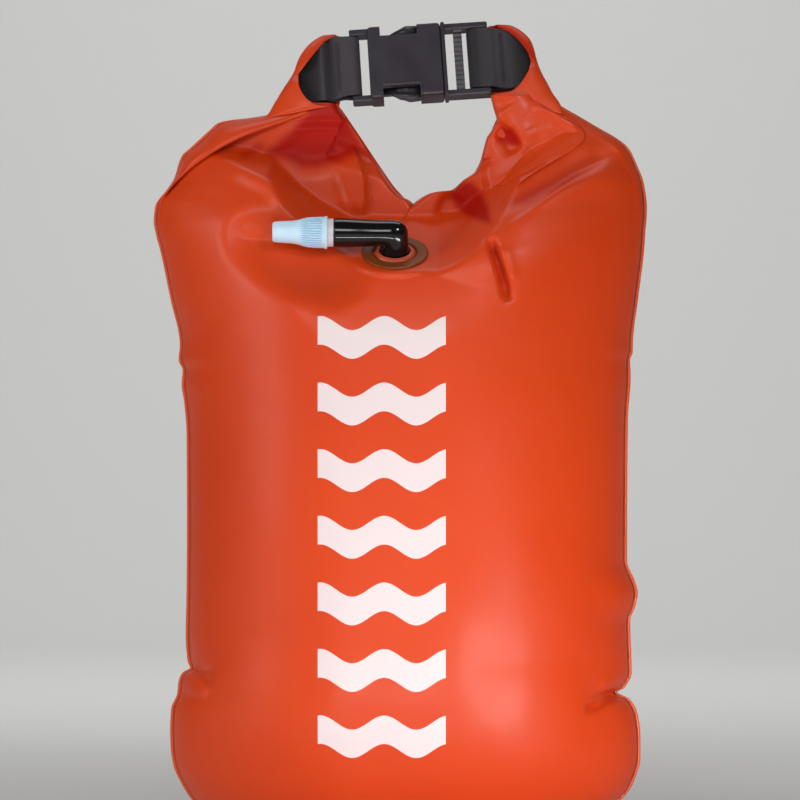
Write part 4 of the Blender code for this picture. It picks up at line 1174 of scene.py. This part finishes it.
elbow = gridPiece("elbow", 96, 150, elbowPoint, closed=True)
dress(elbow, tubeMaterial, "bag", "valve_black", "valve_elbow")
turnedRing("flange", [(12.9, 0.3), (20, 0.3), (20, 0.9), (19.2, 1.5), (14.2, 1.5), (12.9, 0.9)], 0.3,
           portFrame, 128, flangeMaterial, "flange_film", "valve_flange")
turnedRing("grommet", [(9.2, -3), (12, -3), (12.4, 0.5), (11.9, 1.5), (10.4, 2.3), (9.5, 2.2), (9.2, 1.4)],
           0.4, portFrame, 128, grommetMaterial, "grommet", "valve_grommet")
recoat("valve_plunger", capMaterial)
recoat("valve_o_ring", rubberMaterial)
recoat("chamber_liner", fabric)
print("valve made")


# Leash anchor on the back: welded patch, folded webbing tab with its tack, and the D-ring
anchor = dict(x=-3.2, z=125, half=20, corner=5, face=69.5, border=4, tabHalf=12.5, tackZ=124.4, tackY=73.5,
              ringY=73.7, ringZ=110.9, ringHalf=15.1, ringSide=6, wire=2, ringCorner=3)
yAxis = Vector((0, 1, 0))


def patchOutline(half, corner):
    places = []
    for sx, sz in ((1, 1), (-1, 1), (-1, -1), (1, -1)):
        pair = [(sx * half, sz * (half - corner)), (sx * (half - corner), sz * half)]
        places += pair if sx * sz > 0 else pair[::-1]
    return [(anchor["x"] + x, anchor["z"] + z) for x, z in places]


face = anchor["face"]
patch = slab("anchorPatch", [
    (patchOutline(anchor["half"], anchor["corner"]), face - 2.4, face - 0.35),
    (patchOutline(anchor["half"] - anchor["border"], anchor["corner"] - 1), face - 1, face),
], Matrix.Identity(4), 0.3)
dress(patch, weldMaterial, "bag", "coated_fabric", "anchor_patch")

tabPath = [(128.6, 70.7), (123, 70.7), (117, 70.7), (113.4, 70.8), (110.4, 71.1), (108.6, 72.2),
           (107.9, 73.8), (108.6, 75.6), (110.6, 76.7), (112.6, 76.4), (114.2, 74.9), (115.6, 73.2),
           (118, 72.5), (123, 72.4), (128.6, 72.4)]
tabFrame = Matrix.Translation((anchor["x"], 0, 0)) @ Matrix(
    ((0, 0, 1, 0), (0, 1, 0, 0), (1, 0, 0, 0), (0, 0, 0, 1)))
tabWidth = anchor["tabHalf"]
tab = ribbonPiece("anchorTab", tabPath, [(100, -tabWidth, tabWidth), (130, -tabWidth, tabWidth)], tabFrame,
                  lambda x, z, y: noise.noise(Vector((x / 9, z / 9, 2))) * 0.12)
dress(tab, webbingMaterial, "bag", "webbing", "anchor_webbing")


def tackPoint(share, side):
    return Vector((anchor["x"] + mix(-9.5, 9.5, share), anchor["tackY"] - 0.2, anchor["tackZ"] + side))


makeTack("anchorTack", 38, tackPoint, 0.25, yAxis, "bag", "anchor_bar_tack")


def arc(x, z, radius, start, end, steps):
    angles = [mix(start, end, i / steps) for i in range(steps + 1)]
    return [(x + radius * cos(angle), z + radius * sin(angle)) for angle in angles]


# The D, from the middle of its bar round to the same place
half = anchor["ringHalf"]
cut = anchor["ringCorner"]
ringLine = ([(0, 0), (half / 2, 0)] + arc(half - cut, -cut, cut, pi / 2, 0, 6)
            + arc(0, -anchor["ringSide"], half, 0, -pi, 36) + arc(cut - half, -cut, cut, pi, pi / 2, 6)
            + [(-half / 2, 0), (0, 0)])
ringPoints = [Vector((anchor["x"] + x, anchor["ringY"], anchor["ringZ"] + z)) for x, z in ringLine]
ring = threadPiece("dRing", ringPoints, anchor["wire"], yAxis, around=20, closed=True)
dress(ring, ringMaterial, "ring", "ring_plastic", "d_ring")

low, high = (Vector(corner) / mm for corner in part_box("bottom_weld"))


def bottomPoint(u, v):
    end = sqrt(max(1 - (2 * v - 1) ** 40, 0))
    return (mix(low.x, high.x, v), high.y * cos(tau * u) * end,
            high.z / 2 * (1 + signedPower(sin(tau * u), 0.6) * end))


bottomWeld = gridPiece("bottomWeld", 16, 60, bottomPoint, closed=True, capped=True)
dress(bottomWeld, weldMaterial, "bag", "weld_edge", "bottom_weld")
print("anchor made")


# Studio
studio = dict(floor=(0.74, 0.74, 0.73), world=0.06)


def sweepPoint(u, v):
    # Floor that curves up into the backdrop
    x = mix(-6000, 6000, u)
    if v < 0.5:
        return x, mix(-5000, 2000, v * 2), 0
    if v < 0.75:
        angle = (v - 0.5) * 4 * pi / 2
        return x, 2000 + 1000 * sin(angle), 1000 - 1000 * cos(angle)
    return x, 3000, mix(1000, 6000, (v - 0.75) * 4)


sweep = gridPiece("sweep", 4, 64, sweepPoint, flip=True)
sweep.data.materials.append(material("sweepPaper", studio["floor"], 0.85))

world = bpy.data.worlds.new("world")
world.use_nodes = True
background = world.node_tree.nodes["Background"].inputs
background["Color"].default_value = (1, 1, 1, 1)
background["Strength"].default_value = studio["world"]
bpy.context.scene.world = world


def lamp(name, place, target, size, power):
    data = bpy.data.lights.new(name, "AREA")
    data.shape = "RECTANGLE"
    data.size, data.size_y = size
    data.energy = power
    made = bpy.data.objects.new(name, data)
    made.location = place
    made.rotation_euler = (Vector(target) - Vector(place)).to_track_quat("-Z", "Y").to_euler()
    bpy.context.collection.objects.link(made)
    return made


def around(azimuth, elevation, distance):
    # A place round the object, azimuth from the front toward the right
    a = radians(azimuth)
    e = radians(elevation)
    return distance * cos(e) * sin(a), -distance * cos(e) * cos(a), 0.25 + distance * sin(e)


# Lamps: name, place, target, size and power
lamp("key", around(31, 31, 1.5), (0, 0, 0.27), (0.24, 0.24), 4.8)
lamp("front", around(-8, 22, 2), (0, 0, 0.25), (0.9, 0.5), 9)
lamp("left", around(-62, 15, 1.6), (0, 0, 0.25), (0.6, 1), 9)
lamp("overhead", (0, 0.35, 1.7), (0, 0, 0.3), (1.2, 0.6), 5)
lamp("backdrop", (0, 0.9, 1.7), (0, 3, 0.7), (2.5, 0.6), 32)

# Two low lamps light the object and leave the floor out
unlit = bpy.data.collections.new("unlitByLowLamps")
unlit.objects.link(sweep)
unlit.collection_objects[0].light_linking.link_state = "EXCLUDE"
for name, place, target, size, power in (
        ("low", (0.26, -0.38, 0.05), (0.055, -0.07, 0.085), (0.24, 0.07), 1),
        ("glint", (-0.02, -0.46, 0.02), (-0.02, -0.05, 0.36), (0.22, 0.03), 0.35)):
    made = lamp(name, place, target, size, power)
    made.visible_camera = False
    made.light_linking.receiver_collection = unlit
